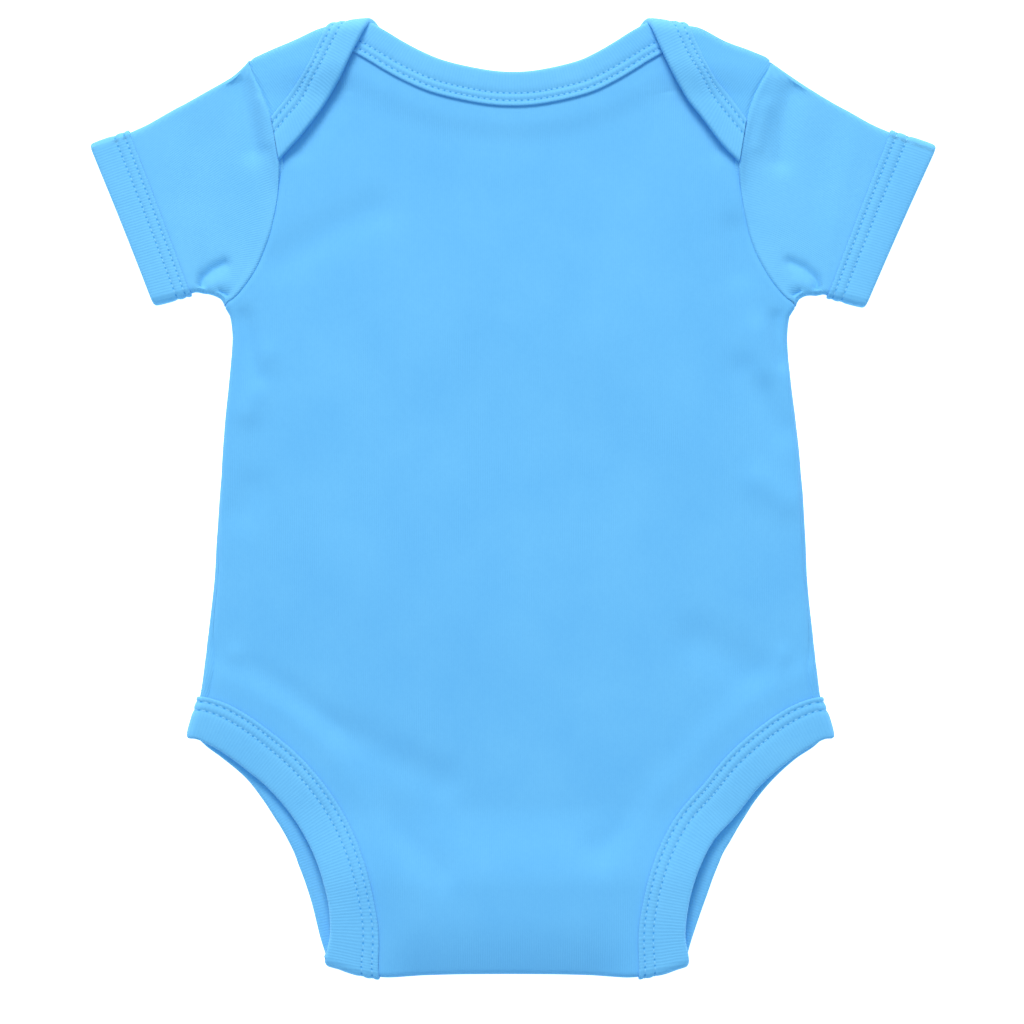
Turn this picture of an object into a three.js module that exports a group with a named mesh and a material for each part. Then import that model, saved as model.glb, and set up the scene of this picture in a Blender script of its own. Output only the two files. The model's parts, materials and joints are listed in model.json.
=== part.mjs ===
// Baby romper: a short-sleeved envelope-neck bodysuit that lies flat with its back up.
// Millimetres. +X is the viewer's right, +Y runs from the crotch to the neck, +Z is up off the table.
// Every piece is a thin wall on a middle surface; the rib bindings are folded strips with a slot in
// which the edge of the panel sits. All heights are those of the middle of a layer.
import * as THREE from 'three';

// ---------------------------------------------------------------- driving sizes
const CLOTH = 1.0;                         // one layer of interlock
const GAP = 0.3;                           // clearance at every seam
const BINDING = 3 * CLOTH + 2 * GAP;       // rib folded over the panel's edge
const LOW = BINDING / 2;                   // binding that lies on the table
const MIDDLE = LOW + BINDING + GAP;        // binding that lies on another one
const HIGH = MIDDLE + BINDING + GAP;       // third binding in a stack
const FLOOR = CLOTH / 2;                   // cloth that lies on the table
const RELAXED = 3.2;                       // upper layer, away from every binding
const NECK_WIDTH = 13.3;                   // widths of the bindings
const CUFF_WIDTH = 15;
const LEG_WIDTH = 17.5;
const STEP_MARGIN = 3;                     // extra level cloth beside the leg bindings
const FACETS = 6;                          // steps round every fold
const RING_STEPS = 6;                      // steps along each side of a sleeve's ring
const TUCK = 5;                            // how far a panel's edge reaches into its binding
const SLOT_DEPTH = 1.5;                    // cloth between the slot of a binding and its outer edge
const SHOULDER_TUCK = 6.5;                 // how far the back ends under the shoulder fold
const SEAM_CLEAR = 0.5;                    // extra clearance of a sleeve, whose facets are coarser
const FLAT_MARGIN = 5;                     // level cloth beyond a binding's ridge
const FADE = 13;                           // over which the cloth sinks back from a binding
const SEAM_LEVEL = 4.2;                    // upper layer along the lower armholes and the side seams
const CREST = 5.2;                         // upper layer of the sleeves and flaps at the armholes
const OVER_BINDING = BINDING + GAP + CLOTH / 2 + 0.1; // upper layer over the hidden front neck binding
const CENTRE = -1;                         // middle of the body, across
const ARMPIT = 74.8;                       // height of the underarm folds
const SPREAD = 78;                         // above it the panels' edges are clear of the side folds
const TAB_END = -157;                      // end of the back's crotch tab, underneath
const FRONT_END = -180;                    // end of the front's crotch tab
const TAB_CLEAR = -120;                    // where the upper layer is down again behind the tab

// ---------------------------------------------------------------- tables of the outline
// Outermost middle line of the side folds, from the armpits to the hips
const SIDES = [
  { y: 100, left: -114.5, right: 112 }, { y: 75.4, left: -113.3, right: 110.6 },
  { y: 72.5, left: -111.6, right: 108.6 }, { y: 69, left: -110.4, right: 107.2 },
  { y: 62, left: -109.9, right: 106.8 }, { y: 46.3, left: -111.1, right: 108 },
  { y: 30.6, left: -112.7, right: 109.9 }, { y: 14.9, left: -113.9, right: 111.5 },
  { y: -16.5, left: -115.8, right: 113.5 }, { y: -32.2, left: -116.6, right: 114.2 },
  { y: -55.7, left: -119.3, right: 116.6 }, { y: -71.4, left: -121.1, right: 118.3 },
  { y: -79, left: -122.4, right: 119.4 }, { y: -87, left: -124.7, right: 122 },
  { y: -94.5, left: -126.3, right: 123.6 }, { y: -200, left: -126.3, right: 123.6 },
];
// How far round from the fold each side seam lies on the upper side
const SIDE_SEAMS = [
  { y: 100, left: 0, right: 0 }, { y: 15, left: 0, right: 1 }, { y: -1, left: 0.8, right: 2.2 },
  { y: -24, left: 2, right: 2.2 }, { y: -43, left: 2.2, right: 1.8 }, { y: -53, left: 2.8, right: 2.4 },
  { y: -62, left: 4, right: 3.4 }, { y: -69, left: 4.8, right: 4.6 }, { y: -77, left: 4.4, right: 4.2 },
  { y: -200, left: 4.4, right: 4.2 },
];
// Armhole seams, in plan
const ARMHOLES = [
  { y: 240, left: -92.4, right: 88.9 }, { y: 172, left: -104.4, right: 102.4 },
  { y: 168, left: -103.4, right: 100.6 }, { y: 163, left: -100.8, right: 97.2 },
  { y: 157, left: -97.9, right: 94.2 }, { y: 151.4, left: -95.8, right: 92.3 },
  { y: 145.2, left: -94.1, right: 90.8 }, { y: 138.9, left: -93.1, right: 89.5 },
  { y: 131.4, left: -92, right: 88.6 }, { y: 125.1, left: -92.2, right: 88.9 },
  { y: 116.9, left: -93, right: 90 }, { y: 105.1, left: -95.4, right: 92.4 },
  { y: 98.1, left: -97.8, right: 94.6 }, { y: 91.4, left: -100.6, right: 97.8 },
  { y: 85.9, left: -103.8, right: 101.1 }, { y: 80.5, left: -108, right: 105.3 },
  { y: 78, left: -110.7, right: 108 },
];
// Middle line over the shoulder folds
const SHOULDERS = [
  { x: -110, y: 168.4 }, { x: -104.2, y: 171 }, { x: -94.7, y: 175.3 }, { x: -84.5, y: 179.7 },
  { x: -77, y: 183.6 }, { x: -72, y: 184.7 }, { x: -65, y: 185.8 }, { x: -58, y: 186.6 },
  { x: -52, y: 187 }, { x: -46, y: 187 }, { x: 42, y: 187 }, { x: 48, y: 187 },
  { x: 54, y: 186.6 }, { x: 61, y: 185.8 }, { x: 68, y: 184.9 }, { x: 73, y: 184 },
  { x: 82.6, y: 179.2 }, { x: 92.8, y: 174.9 }, { x: 101.8, y: 171 }, { x: 110, y: 167.4 },
];
// Free edges of the shoulder flaps, from the tip at the armhole to the shoulder fold
const LEFT_FLAP = [
  { x: -92.4, y: 131.6 }, { x: -83.4, y: 141.8 }, { x: -76.3, y: 150.8 }, { x: -68.8, y: 162.8 },
  { x: -63.7, y: 173 }, { x: -58.6, y: 182.2 },
];
const RIGHT_FLAP = [
  { x: 88.9, y: 131 }, { x: 79.8, y: 140.8 }, { x: 71.8, y: 151.4 }, { x: 64.1, y: 162.8 },
  { x: 57.9, y: 175 }, { x: 54, y: 182.4 },
];
// Front neckline underneath, from the left shoulder fold to the right one
const FRONT_NECKLINE = [
  { x: -48.5, y: 179 }, { x: -39, y: 166 }, { x: -27, y: 154 }, { x: -13, y: 147.6 },
  { x: -0.8, y: 146.3 }, { x: 11, y: 147.6 }, { x: 25, y: 154 }, { x: 37, y: 166 }, { x: 45.5, y: 179 },
];
// Upper edge of the back neckline, with its ends hidden under the flaps
const BACK_NECKLINE = [
  { x: -66, y: 192 }, { x: -60, y: 188.9 }, { x: -54.2, y: 185.7 }, { x: -48.4, y: 182.3 },
  { x: -44.5, y: 179.9 }, { x: -36.7, y: 175.7 }, { x: -27.3, y: 171.8 }, { x: -9.2, y: 167.9 },
  { x: -0.2, y: 167.3 }, { x: 8.8, y: 167.9 }, { x: 25.7, y: 171.8 }, { x: 33.9, y: 175.7 },
  { x: 41, y: 179.9 }, { x: 44.7, y: 182.3 }, { x: 50.6, y: 185.7 }, { x: 56.4, y: 188.9 },
  { x: 62.5, y: 192 },
];
// Slanting cuts at the ends of the back neckline's binding
const NECK_CUT = { y: 182.6, left: -54.8, right: 51, slope: 0.623 };
// Leg openings on the upper side, from the crotch fold to the hip
const LEG_BACK = [
  { y: -181.5, left: -73.2, right: 67.9 }, { y: -171.4, left: -71.9, right: 67.3 },
  { y: -160, left: -72.3, right: 68.4 }, { y: -150.2, left: -74.5, right: 70.8 },
  { y: -142, left: -77.3, right: 74.1 }, { y: -134.2, left: -81, right: 78.5 },
  { y: -124.5, left: -87.2, right: 87.4 }, { y: -113.4, left: -96.8, right: 96.4 },
  { y: -108.2, left: -103, right: 102 }, { y: -101.6, left: -111.6, right: 110.3 },
  { y: -97, left: -119.2, right: 117.6 },
];
// Leg openings underneath, from the front tab to the hip
const LEG_FRONT = [
  { y: -180, left: -74.5, right: 68.8 }, { y: -173.4, left: -75.9, right: 70 },
  { y: -157.7, left: -79.4, right: 74.7 }, { y: -142, left: -84.9, right: 80.6 },
  { y: -134.2, left: -88.5, right: 84.9 }, { y: -126.3, left: -93.2, right: 89.6 },
  { y: -118.5, left: -98.3, right: 94.7 }, { y: -110.6, left: -104.5, right: 101.4 },
  { y: -102.8, left: -113.6, right: 110 }, { y: -98.4, left: -119.6, right: 116.6 },
];
// Leg openings on the folded crotch tab, from its end to the crotch fold
const LEG_TAB = [
  { y: -157, left: -55.5, right: 51 }, { y: -166, left: -60.5, right: 56 },
  { y: -176, left: -68.5, right: 63.5 },
];
// Outermost middle line of the crotch fold
const CROTCH = [
  { x: -75, y: -181 }, { x: -69, y: -182.4 }, { x: -63, y: -183.8 }, { x: -57, y: -185.2 },
  { x: -50.5, y: -186.7 }, { x: -44, y: -186.9 }, { x: 40, y: -186.9 }, { x: 46.5, y: -186.7 },
  { x: 53, y: -185.2 }, { x: 59, y: -183.8 }, { x: 65, y: -182.4 }, { x: 71, y: -181 },
];
// Sleeves: outer ends of each section, at the top fold and at the underarm fold
const LEFT_SLEEVE = [
  { share: 0, topX: -104.5, topY: 170.6, underX: -113.4, underY: 75.2 },
  { share: 0.12, topX: -109.6, topY: 166.8, underX: -114.9, underY: 77.6 },
  { share: 0.35, topX: -120, topY: 160.6, underX: -118.5, underY: 79.6 },
  { share: 0.65, topX: -133.6, topY: 153.5, underX: -122, underY: 80.2 },
  { share: 1, topX: -151.6, topY: 144.7, underX: -126.6, underY: 79 },
];
const RIGHT_SLEEVE = [
  { share: 0, topX: 102.9, topY: 170.6, underX: 110.8, underY: 75.2 },
  { share: 0.12, topX: 108.2, topY: 166.8, underX: 112.3, underY: 77.6 },
  { share: 0.35, topX: 118.6, topY: 160.2, underX: 115.4, underY: 79.4 },
  { share: 0.65, topX: 131.4, topY: 153, underX: 119.4, underY: 79.4 },
  { share: 1, topX: 148.8, topY: 144.8, underX: 123.2, underY: 78.2 },
];
const LEFT_CUFF = { topX: -166.3, topY: 139.2, underX: -141.2, underY: 75.2 };
const RIGHT_CUFF = { topX: 166.3, topY: 138.7, underX: 138, underY: 74.4 };
// Largest folds of the upper layer: ends, half width, and height (a trough is negative)
const FOLDS = [
  { fromX: -54, fromY: 113, toX: -92, toY: 93, width: 7, height: -0.9 },
  { fromX: -106, fromY: 70, toX: -100, toY: 48, width: 5, height: -0.9 },
  { fromX: -98, fromY: 54, toX: -105, toY: 34, width: 6, height: 0.9 },
  { fromX: -103, fromY: 3, toX: -107, toY: -5, width: 7, height: -0.6 },
  { fromX: 87, fromY: 105, toX: 89, toY: 89, width: 6, height: -0.9 },
  { fromX: 91, fromY: 50, toX: 105, toY: 27, width: 6, height: -1 },
  { fromX: 97, fromY: 7, toX: 107, toY: -1, width: 6, height: 0.8 },
  { fromX: 73, fromY: -56, toX: 100, toY: -75, width: 8, height: -1 },
  { fromX: -107, fromY: -71, toX: -72, toY: -91, width: 8, height: -1 },
  { fromX: -60, fromY: -95, toX: -29, toY: -111, width: 9, height: -0.9 },
  { fromX: 34, fromY: -138, toX: 54, toY: -130, width: 7, height: -0.8 },
];
const SNAPS = [{ name: 'left', x: -28 }, { name: 'middle', x: -2.5 }, { name: 'right', x: 23 }];
const SNAP_Y = -168.5;

// ---------------------------------------------------------------- curves
const mix = (a, b, t) => a + (b - a) * t;
const steps = (count) => Array.from({ length: count + 1 }, (_, i) => i / count);
const rowsBetween = (from, to, count) => steps(count).map((share) => mix(from, to, share));
const ease = (t) => {
  const s = Math.min(1, Math.max(0, t));
  return s * s * (3 - 2 * s);
};

// Smooth value of one column of a table at a given key
function lookup(table, key, column, at) {
  const rows = table[0][key] < table[table.length - 1][key] ? table : [...table].reverse();
  const last = rows.length - 1;
  if (at <= rows[0][key]) return rows[0][column];
  if (at >= rows[last][key]) return rows[last][column];
  let i = 0;
  while (at > rows[i + 1][key]) i += 1;
  const slope = (j) => {
    const a = Math.max(0, j - 1);
    const b = Math.min(last, j + 1);
    return (rows[b][column] - rows[a][column]) / (rows[b][key] - rows[a][key]);
  };
  const step = rows[i + 1][key] - rows[i][key];
  const t = (at - rows[i][key]) / step;
  const rise = rows[i + 1][column] - rows[i][column];
  const bend = (1 - t) * (slope(i) * step - rise) - t * (slope(i + 1) * step - rise);
  return rows[i][column] + rise * t + t * (1 - t) * bend;
}

// Evenly spaced points on a smooth curve through the given ones
function smoothLine(points, count) {
  const corners = points.map((p) => new THREE.Vector3(p.x, p.y, 0));
  const curve = new THREE.CatmullRomCurve3(corners, false, 'centripetal');
  return curve.getSpacedPoints(count).map((p) => ({ x: p.x, y: p.y }));
}

// The same curve moved sideways, to its left as it runs
function moved(points, distance) {
  return points.map((point, i) => {
    const a = points[Math.max(0, i - 1)];
    const b = points[Math.min(points.length - 1, i + 1)];
    const length = Math.hypot(b.x - a.x, b.y - a.y);
    return { x: point.x - ((b.y - a.y) / length) * distance, y: point.y + ((b.x - a.x) / length) * distance };
  });
}

function distanceTo(points, x, y) {
  let best = Infinity;
  for (let i = 1; i < points.length; i += 1) {
    const a = points[i - 1];
    const b = points[i];
    const dx = b.x - a.x;
    const dy = b.y - a.y;
    const t = Math.min(1, Math.max(0, ((x - a.x) * dx + (y - a.y) * dy) / (dx * dx + dy * dy)));
    best = Math.min(best, Math.hypot(x - a.x - dx * t, y - a.y - dy * t));
  }
  return best;
}

const leftOf = (table) => table.map((row) => ({ x: row.left, y: row.y }));
const rightOf = (table) => table.map((row) => ({ x: row.right, y: row.y }));
const hip = (side, y) => ({ x: lookup(SIDES, 'y', side, y), y });
const backLegs = [
  smoothLine([...leftOf(LEG_BACK), hip('left', -94.5)], 26),
  smoothLine([...rightOf(LEG_BACK), hip('right', -94.5)], 26),
];
const frontLegs = [
  smoothLine([...leftOf(LEG_FRONT), hip('left', -94.5)], 26),
  smoothLine([...rightOf(LEG_FRONT), hip('right', -94.5)], 26),
];
const backNeck = smoothLine(BACK_NECKLINE, 60);
const frontNeck = smoothLine(
  [{ x: -54.5, y: 186 }, ...FRONT_NECKLINE, { x: 50.5, y: 186 }],
  30,
);
const flapEdges = [
  smoothLine([...LEFT_FLAP, { x: -55.4, y: 187 }], 12),
  smoothLine([...RIGHT_FLAP, { x: 51.2, y: 187 }], 12),
];

// ---------------------------------------------------------------- heights of the layers
// 1 inside a band of this width along an edge, easing to 0 beyond it
function near(edge, width, x, y, fade = FADE) {
  return 1 - ease((distanceTo(edge, x, y) - width - FLAT_MARGIN) / fade);
}
const sideDistance = (x, y) => Math.min(
  x - lookup(SIDES, 'y', 'left', y),
  lookup(SIDES, 'y', 'right', y) - x,
);
const armholeDistance = (x, y) => Math.min(
  x - lookup(ARMHOLES, 'y', 'left', y),
  lookup(ARMHOLES, 'y', 'right', y) - x,
);

// The upper layer stands one step higher where the crotch tab is folded under it
const tabLift = (y) => (HIGH - MIDDLE) * (1 - ease((y - TAB_END - 4) / (TAB_CLEAR - TAB_END - 4)));

function foldHeight(x, y) {
  let sum = 0;
  for (const fold of FOLDS) {
    const line = [{ x: fold.fromX, y: fold.fromY }, { x: fold.toX, y: fold.toY }];
    sum += fold.height * Math.exp(-((distanceTo(line, x, y) / fold.width) ** 2));
  }
  return sum;
}

function backHeight(x, y) {
  const free = RELAXED + foldHeight(x, y);
  const legs = Math.max(...backLegs.map((edge) => near(edge, LEG_WIDTH + STEP_MARGIN, x, y)));
  const neck = near(backNeck, NECK_WIDTH, x, y);
  const side = y > SPREAD ? armholeDistance(x, y) : sideDistance(x, y);
  const seam = 1 - ease((side - 6) / FADE);
  const hidden = near(frontNeck, NECK_WIDTH, x, y);
  const edges = Math.max(
    mix(free, MIDDLE, legs),
    mix(free, MIDDLE, neck),
    mix(free, SEAM_LEVEL, seam),
    mix(free, OVER_BINDING, hidden),
  );
  return mix(Math.max(free, edges), HIGH, tabLift(y) / (HIGH - MIDDLE));
}

function frontHeight(x, y) {
  const legs = Math.max(...frontLegs.map((edge) => near(edge, LEG_WIDTH + STEP_MARGIN, x, y)));
  const neck = Math.max(
    near(frontNeck, NECK_WIDTH, x, y),
    near(flapEdges[0], NECK_WIDTH, x, y, 8) * ease((y - 172) / 6),
    near(flapEdges[1], NECK_WIDTH, x, y, 8) * ease((y - 172) / 6),
  );
  const snaps = 1 - ease((y - SNAP_Y - 16) / FADE);
  return mix(FLOOR, LOW, Math.max(legs, neck, snaps));
}

// Binding of the flap: highest where it crosses the back neck binding
const flapBindingHeight = (y) => mix(7.4, HIGH, ease((y - 156) / 15));

function flapHeight(x, y) {
  const edge = Math.max(...flapEdges.map((line) => near(line, NECK_WIDTH, x, y, 16)));
  return mix(CREST, flapBindingHeight(y), edge);
}

// ---------------------------------------------------------------- the folds
// Half circle between two layers: its centre and radius at one place along the fold
function sideFold(side, y) {
  const sign = side === 'left' ? -1 : 1;
  const outermost = lookup(SIDES, 'y', side, y);
  let radius = 2;
  for (let i = 0; i < 4; i += 1) {
    const x = outermost - sign * radius;
    radius = (backHeight(x, y) - frontHeight(x, y)) / 2;
  }
  const x = outermost - sign * radius;
  return { sign, radius, x, z: frontHeight(x, y) + radius };
}

function shoulderFold(x) {
  const crest = lookup(SHOULDERS, 'x', 'y', x);
  let radius = 3;
  for (let i = 0; i < 4; i += 1) {
    const y = crest - radius;
    radius = (flapHeight(x, y) - frontHeight(x, y)) / 2;
  }
  const y = crest - radius;
  return { radius, y, z: frontHeight(x, y) + radius };
}

function crotchFold(x) {
  const radius = (HIGH - MIDDLE) / 2;
  return { radius, y: lookup(CROTCH, 'x', 'y', x) + radius, z: MIDDLE + radius };
}

// A point of the back, laid out flat as it is cut: `a` runs across and `q` along the body.
// Past a side fold it runs round to the underside, and past the crotch fold into the tab.
function onBack(a, q) {
  const fold = sideFold(a < CENTRE ? 'left' : 'right', q);
  const past = fold.sign * (a - fold.x);
  if (past > 0) {
    const angle = past / fold.radius;
    if (angle < Math.PI) {
      const n = new THREE.Vector3(fold.sign * Math.sin(angle), 0, Math.cos(angle));
      return { p: new THREE.Vector3(fold.x, q, fold.z).addScaledVector(n, fold.radius), n };
    }
    const x = fold.x - fold.sign * (past - Math.PI * fold.radius);
    return { p: new THREE.Vector3(x, q, frontHeight(x, q)), n: new THREE.Vector3(0, 0, -1) };
  }
  const crotch = crotchFold(a);
  const over = crotch.y - q;
  if (over > 0) {
    const angle = over / crotch.radius;
    if (angle < Math.PI) {
      const n = new THREE.Vector3(0, -Math.sin(angle), Math.cos(angle));
      return { p: new THREE.Vector3(a, crotch.y, crotch.z).addScaledVector(n, crotch.radius), n };
    }
    const y = crotch.y + over - Math.PI * crotch.radius;
    return { p: new THREE.Vector3(a, y, MIDDLE), n: new THREE.Vector3(0, 0, -1) };
  }
  return { p: new THREE.Vector3(a, q, backHeight(a, q)), n: new THREE.Vector3(0, 0, 1) };
}

// A point of the front, laid out flat as it is cut: past a side fold it comes up to the side seam,
// and past a shoulder fold it comes over into the flap
function onFront(a, q) {
  const shoulder = shoulderFold(a);
  const over = q - shoulder.y;
  if (over > 0) {
    const angle = over / shoulder.radius;
    if (angle < Math.PI) {
      const n = new THREE.Vector3(0, Math.sin(angle), -Math.cos(angle));
      return { p: new THREE.Vector3(a, shoulder.y, shoulder.z).addScaledVector(n, shoulder.radius), n };
    }
    const y = shoulder.y - over + Math.PI * shoulder.radius;
    return { p: new THREE.Vector3(a, y, flapHeight(a, y)), n: new THREE.Vector3(0, 0, 1) };
  }
  const fold = sideFold(a < CENTRE ? 'left' : 'right', q);
  const past = fold.sign * (a - fold.x);
  if (past > 0 && q < SPREAD + 3) {
    const angle = Math.min(Math.PI, past / fold.radius);
    const run = Math.max(0, past - Math.PI * fold.radius);
    const x = fold.x + fold.sign * (fold.radius * Math.sin(angle) - run);
    const z = run > 0 ? backHeight(x, q) : fold.z - fold.radius * Math.cos(angle);
    const n = new THREE.Vector3(fold.sign * Math.sin(angle), 0, -Math.cos(angle));
    return { p: new THREE.Vector3(x, q, z), n };
  }
  return { p: new THREE.Vector3(a, q, frontHeight(a, q)), n: new THREE.Vector3(0, 0, -1) };
}

// ---------------------------------------------------------------- building solids
function solid(vertices, triangles) {
  let volume = 0;
  for (const [a, b, c] of triangles) {
    volume += vertices[a].dot(new THREE.Vector3().crossVectors(vertices[b], vertices[c]));
  }
  const order = volume > 0 ? triangles : triangles.map(([a, b, c]) => [a, c, b]);
  const geometry = new THREE.BufferGeometry();
  const numbers = vertices.flatMap((v) => [v.x, v.y, v.z]);
  geometry.setAttribute('position', new THREE.Float32BufferAttribute(numbers, 3));
  geometry.setIndex(order.flat());
  geometry.computeVertexNormals();
  return geometry;
}

// A sheet of cloth: grids of middle points and normals, joined where they share points
function wall(grids) {
  const middles = [];
  const found = new Map();
  const place = ({ p, n }) => {
    const key = [p.x, p.y, p.z].map((value) => Math.round(value * 500)).join();
    if (!found.has(key)) {
      found.set(key, middles.length);
      middles.push({ p, n: n.clone() });
    }
    return found.get(key);
  };
  const faces = [];
  const addFace = (a, b, c) => {
    if (a === b || b === c || c === a) return;
    const ab = middles[b].p.clone().sub(middles[a].p);
    const ac = middles[c].p.clone().sub(middles[a].p);
    const facing = ab.cross(ac).dot(middles[a].n.clone().add(middles[b].n).add(middles[c].n));
    faces.push(facing > 0 ? [a, b, c] : [a, c, b]);
  };
  for (const grid of grids) {
    const indices = grid.map((row) => row.map(place));
    for (let i = 1; i < grid.length; i += 1) {
      for (let j = 1; j < grid[i].length; j += 1) {
        const [a, b, c, d] = [indices[i - 1][j - 1], indices[i - 1][j], indices[i][j], indices[i][j - 1]];
        const straight = middles[a].p.distanceTo(middles[c].p) < middles[b].p.distanceTo(middles[d].p);
        if (straight) {
          addFace(a, b, c);
          addFace(a, c, d);
        } else {
          addFace(a, b, d);
          addFace(b, c, d);
        }
      }
    }
  }
  const count = middles.length;
  const shift = (sign) => middles.map(({ p, n }) => p.clone().addScaledVector(n, (sign * CLOTH) / 2));
  const vertices = [...shift(1), ...shift(-1)];
  const edges = new Map();
  for (const [a, b, c] of faces) {
    for (const [from, to] of [[a, b], [b, c], [c, a]]) edges.set(`${from},${to}`, [from, to]);
  }
  const triangles = faces.flatMap(([a, b, c]) => [[a, b, c], [c + count, b + count, a + count]]);
  for (const [from, to] of edges.values()) {
    if (!edges.has(`${to},${from}`)) {
      triangles.push([to, from, from + count], [to, from + count, to + count]);
    }
  }
  return solid(vertices, triangles);
}

// Cross-section of a binding: `across` from its ridge to its outer edge, `out` along the normal
function bindingSection(width) {
  const half = BINDING / 2;
  const slot = CLOTH / 2 + GAP;
  const shoulder = width - half * 0.7;
  const bottom = width - SLOT_DEPTH;
  return [
    { across: 0, out: half }, { across: shoulder, out: half }, { across: width, out: 0 },
    { across: shoulder, out: -half }, { across: 0, out: -half }, { across: 0, out: -slot },
    { across: bottom, out: -slot }, { across: bottom, out: slot }, { across: 0, out: slot },
  ];
}

// Sweeps a closed section through rings of points, closed on itself or capped at both ends
function sweep(rings, section, closed) {
  const size = section.length;
  const vertices = rings.flat();
  const triangles = [];
  const spans = closed ? rings.length : rings.length - 1;
  for (let i = 0; i < spans; i += 1) {
    const here = i * size;
    const next = ((i + 1) % rings.length) * size;
    for (let j = 0; j < size; j += 1) {
      const k = (j + 1) % size;
      triangles.push([here + j, here + k, next + k], [here + j, next + k, next + j]);
    }
  }
  if (!closed) {
    const outline = section.map((point) => new THREE.Vector2(point.across, point.out));
    const turn = Math.sign(THREE.ShapeUtils.area(outline));
    const end = (rings.length - 1) * size;
    for (const [a, b, c] of THREE.ShapeUtils.triangulateShape(outline, [])) {
      const inOrder = THREE.ShapeUtils.area([outline[a], outline[b], outline[c]]) * turn > 0;
      const [d, e] = inOrder ? [b, c] : [c, b];
      triangles.push([a, e, d], [a + end, d + end, e + end]);
    }
  }
  return solid(vertices, triangles);
}

const pointAt = (line, place) => {
  const i = Math.min(line.length - 2, Math.floor(place));
  return { x: mix(line[i].x, line[i + 1].x, place - i), y: mix(line[i].y, line[i + 1].y, place - i) };
};

// Place along a line, after `from`, where a rising or falling measure of its points passes a value
function placeWhere(line, measure, value, from, rising) {
  for (let i = Math.floor(from) + 1; i < line.length; i += 1) {
    const here = measure(line[i]);
    if (rising ? here >= value : here <= value) {
      const before = measure(line[i - 1]);
      return before === here ? from : Math.max(from, i - 1 + (value - before) / (here - before));
    }
  }
  return line.length - 1;
}

// A binding along the outer edge of a laid-out panel; `inward` is +1 when the panel is on its left.
// Each bend is a fold that it crosses, and `spans` has the number of steps before, between and
// after them: the rings turn with each fold, so both edges of the strip bend at the same angle.
// The strip is cut off where `within` falls below zero.
function binding(edge, width, inward, surface, bends, spans, within = () => 1) {
  const section = bindingSection(width);
  const places = (line) => {
    const last = line.length - 1 - placeWhere([...line].reverse(), within, 0, 0, true);
    const stops = [placeWhere(line, within, 0, 0, true)];
    for (const { measure, angles } of bends) {
      const rising = angles[0] < angles[1];
      for (const angle of angles) {
        stops.push(placeWhere(line, measure, angle, stops[stops.length - 1], rising));
      }
    }
    stops.push(last);
    const counts = bends.flatMap(({ angles }, i) => [spans[i], ...angles.slice(1).map(() => 1)]);
    counts.push(spans[spans.length - 1]);
    return counts.flatMap((count, i) => rowsBetween(stops[i], stops[i + 1], count).slice(i === 0 ? 0 : 1));
  };
  const ridge = moved(edge, inward * width);
  const outer = places(edge).map((place) => pointAt(edge, place));
  const inner = places(ridge).map((place) => pointAt(ridge, place));
  const rings = outer.map((from, i) => section.map((point) => {
    const share = point.across / width;
    const at = surface(mix(inner[i].x, from.x, share), mix(inner[i].y, from.y, share));
    return at.p.addScaledVector(at.n, point.out);
  }));
  return sweep(rings, section, false);
}

function piece(name, geometry, colour) {
  const material = new THREE.MeshStandardMaterial({ color: colour, roughness: 0.95, metalness: 0 });
  const mesh = new THREE.Mesh(geometry, material);
  mesh.name = name;
  return mesh;
}

// ---------------------------------------------------------------- edges of the laid-out panels
// A leg opening's outer edge as the back is laid out, run from the tab's end to the front tab's end
function legEdge(side) {
  const tab = LEG_TAB.map((row) => {
    const crotch = crotchFold(row[side]);
    return { x: row[side], y: crotch.y - Math.PI * crotch.radius - (row.y - crotch.y) };
  });
  const corner = LEG_BACK[0][side];
  const bend = { x: corner, y: crotchFold(corner).y - 3 };
  const back = LEG_BACK.slice(1).map((row) => ({ x: row[side], y: row.y }));
  const fold = sideFold(side, -95);
  const around = (share) => ({ x: fold.x + fold.sign * Math.PI * fold.radius * share, y: -94.6 });
  const front = [...LEG_FRONT].reverse().map((row) => {
    const at = sideFold(side, row.y);
    return { x: 2 * at.x + at.sign * Math.PI * at.radius - row[side], y: row.y };
  });
  return smoothLine([...tab, bend, ...back, around(0), around(0.5), around(1), ...front], 900);
}

// Line along which a panel's edge ends inside a binding
const tucked = (edge, width, inward) => moved(edge, inward * (width - TUCK));

// Where a line that runs once across the rows crosses the row at `y`
function crossing(line, y) {
  for (let i = 1; i < line.length; i += 1) {
    const a = line[i - 1];
    const b = line[i];
    if ((a.y - y) * (b.y - y) <= 0 && a.y !== b.y) return mix(a.x, b.x, (y - a.y) / (b.y - a.y));
  }
  return y < line[0].y ? line[0].x : null;
}

// Positions across a row: one at each bend of the side folds, then closer together near the edges.
// `turns` are the bends, as shares of the half circle, that the panel may go round.
function across(q, left, right, turns) {
  const bend = (side, edge, clip) => {
    const fold = sideFold(side, q);
    return turns.map((turn) => clip(edge, fold.x + fold.sign * Math.PI * fold.radius * turn));
  };
  const leftBends = bend('left', left, Math.max);
  const rightBends = bend('right', right, Math.min).reverse();
  const from = turns.length > 0 ? leftBends[leftBends.length - 1] : left;
  const to = turns.length > 0 ? rightBends[0] : right;
  const shares = [0, 0.022, 0.045, 0.09, 0.19, 0.34, 0.5, 0.66, 0.81, 0.91, 0.955, 0.978, 1];
  const flat = shares.map((share) => mix(from, to, share));
  return turns.length > 0 ? [left, ...leftBends, ...flat.slice(1, -1), ...rightBends, right] : flat;
}
const FRONT_TURNS = rowsBetween(1, 0, FACETS);
const BACK_TURNS = rowsBetween(0.5, 0, FACETS / 2).slice(1);

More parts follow.
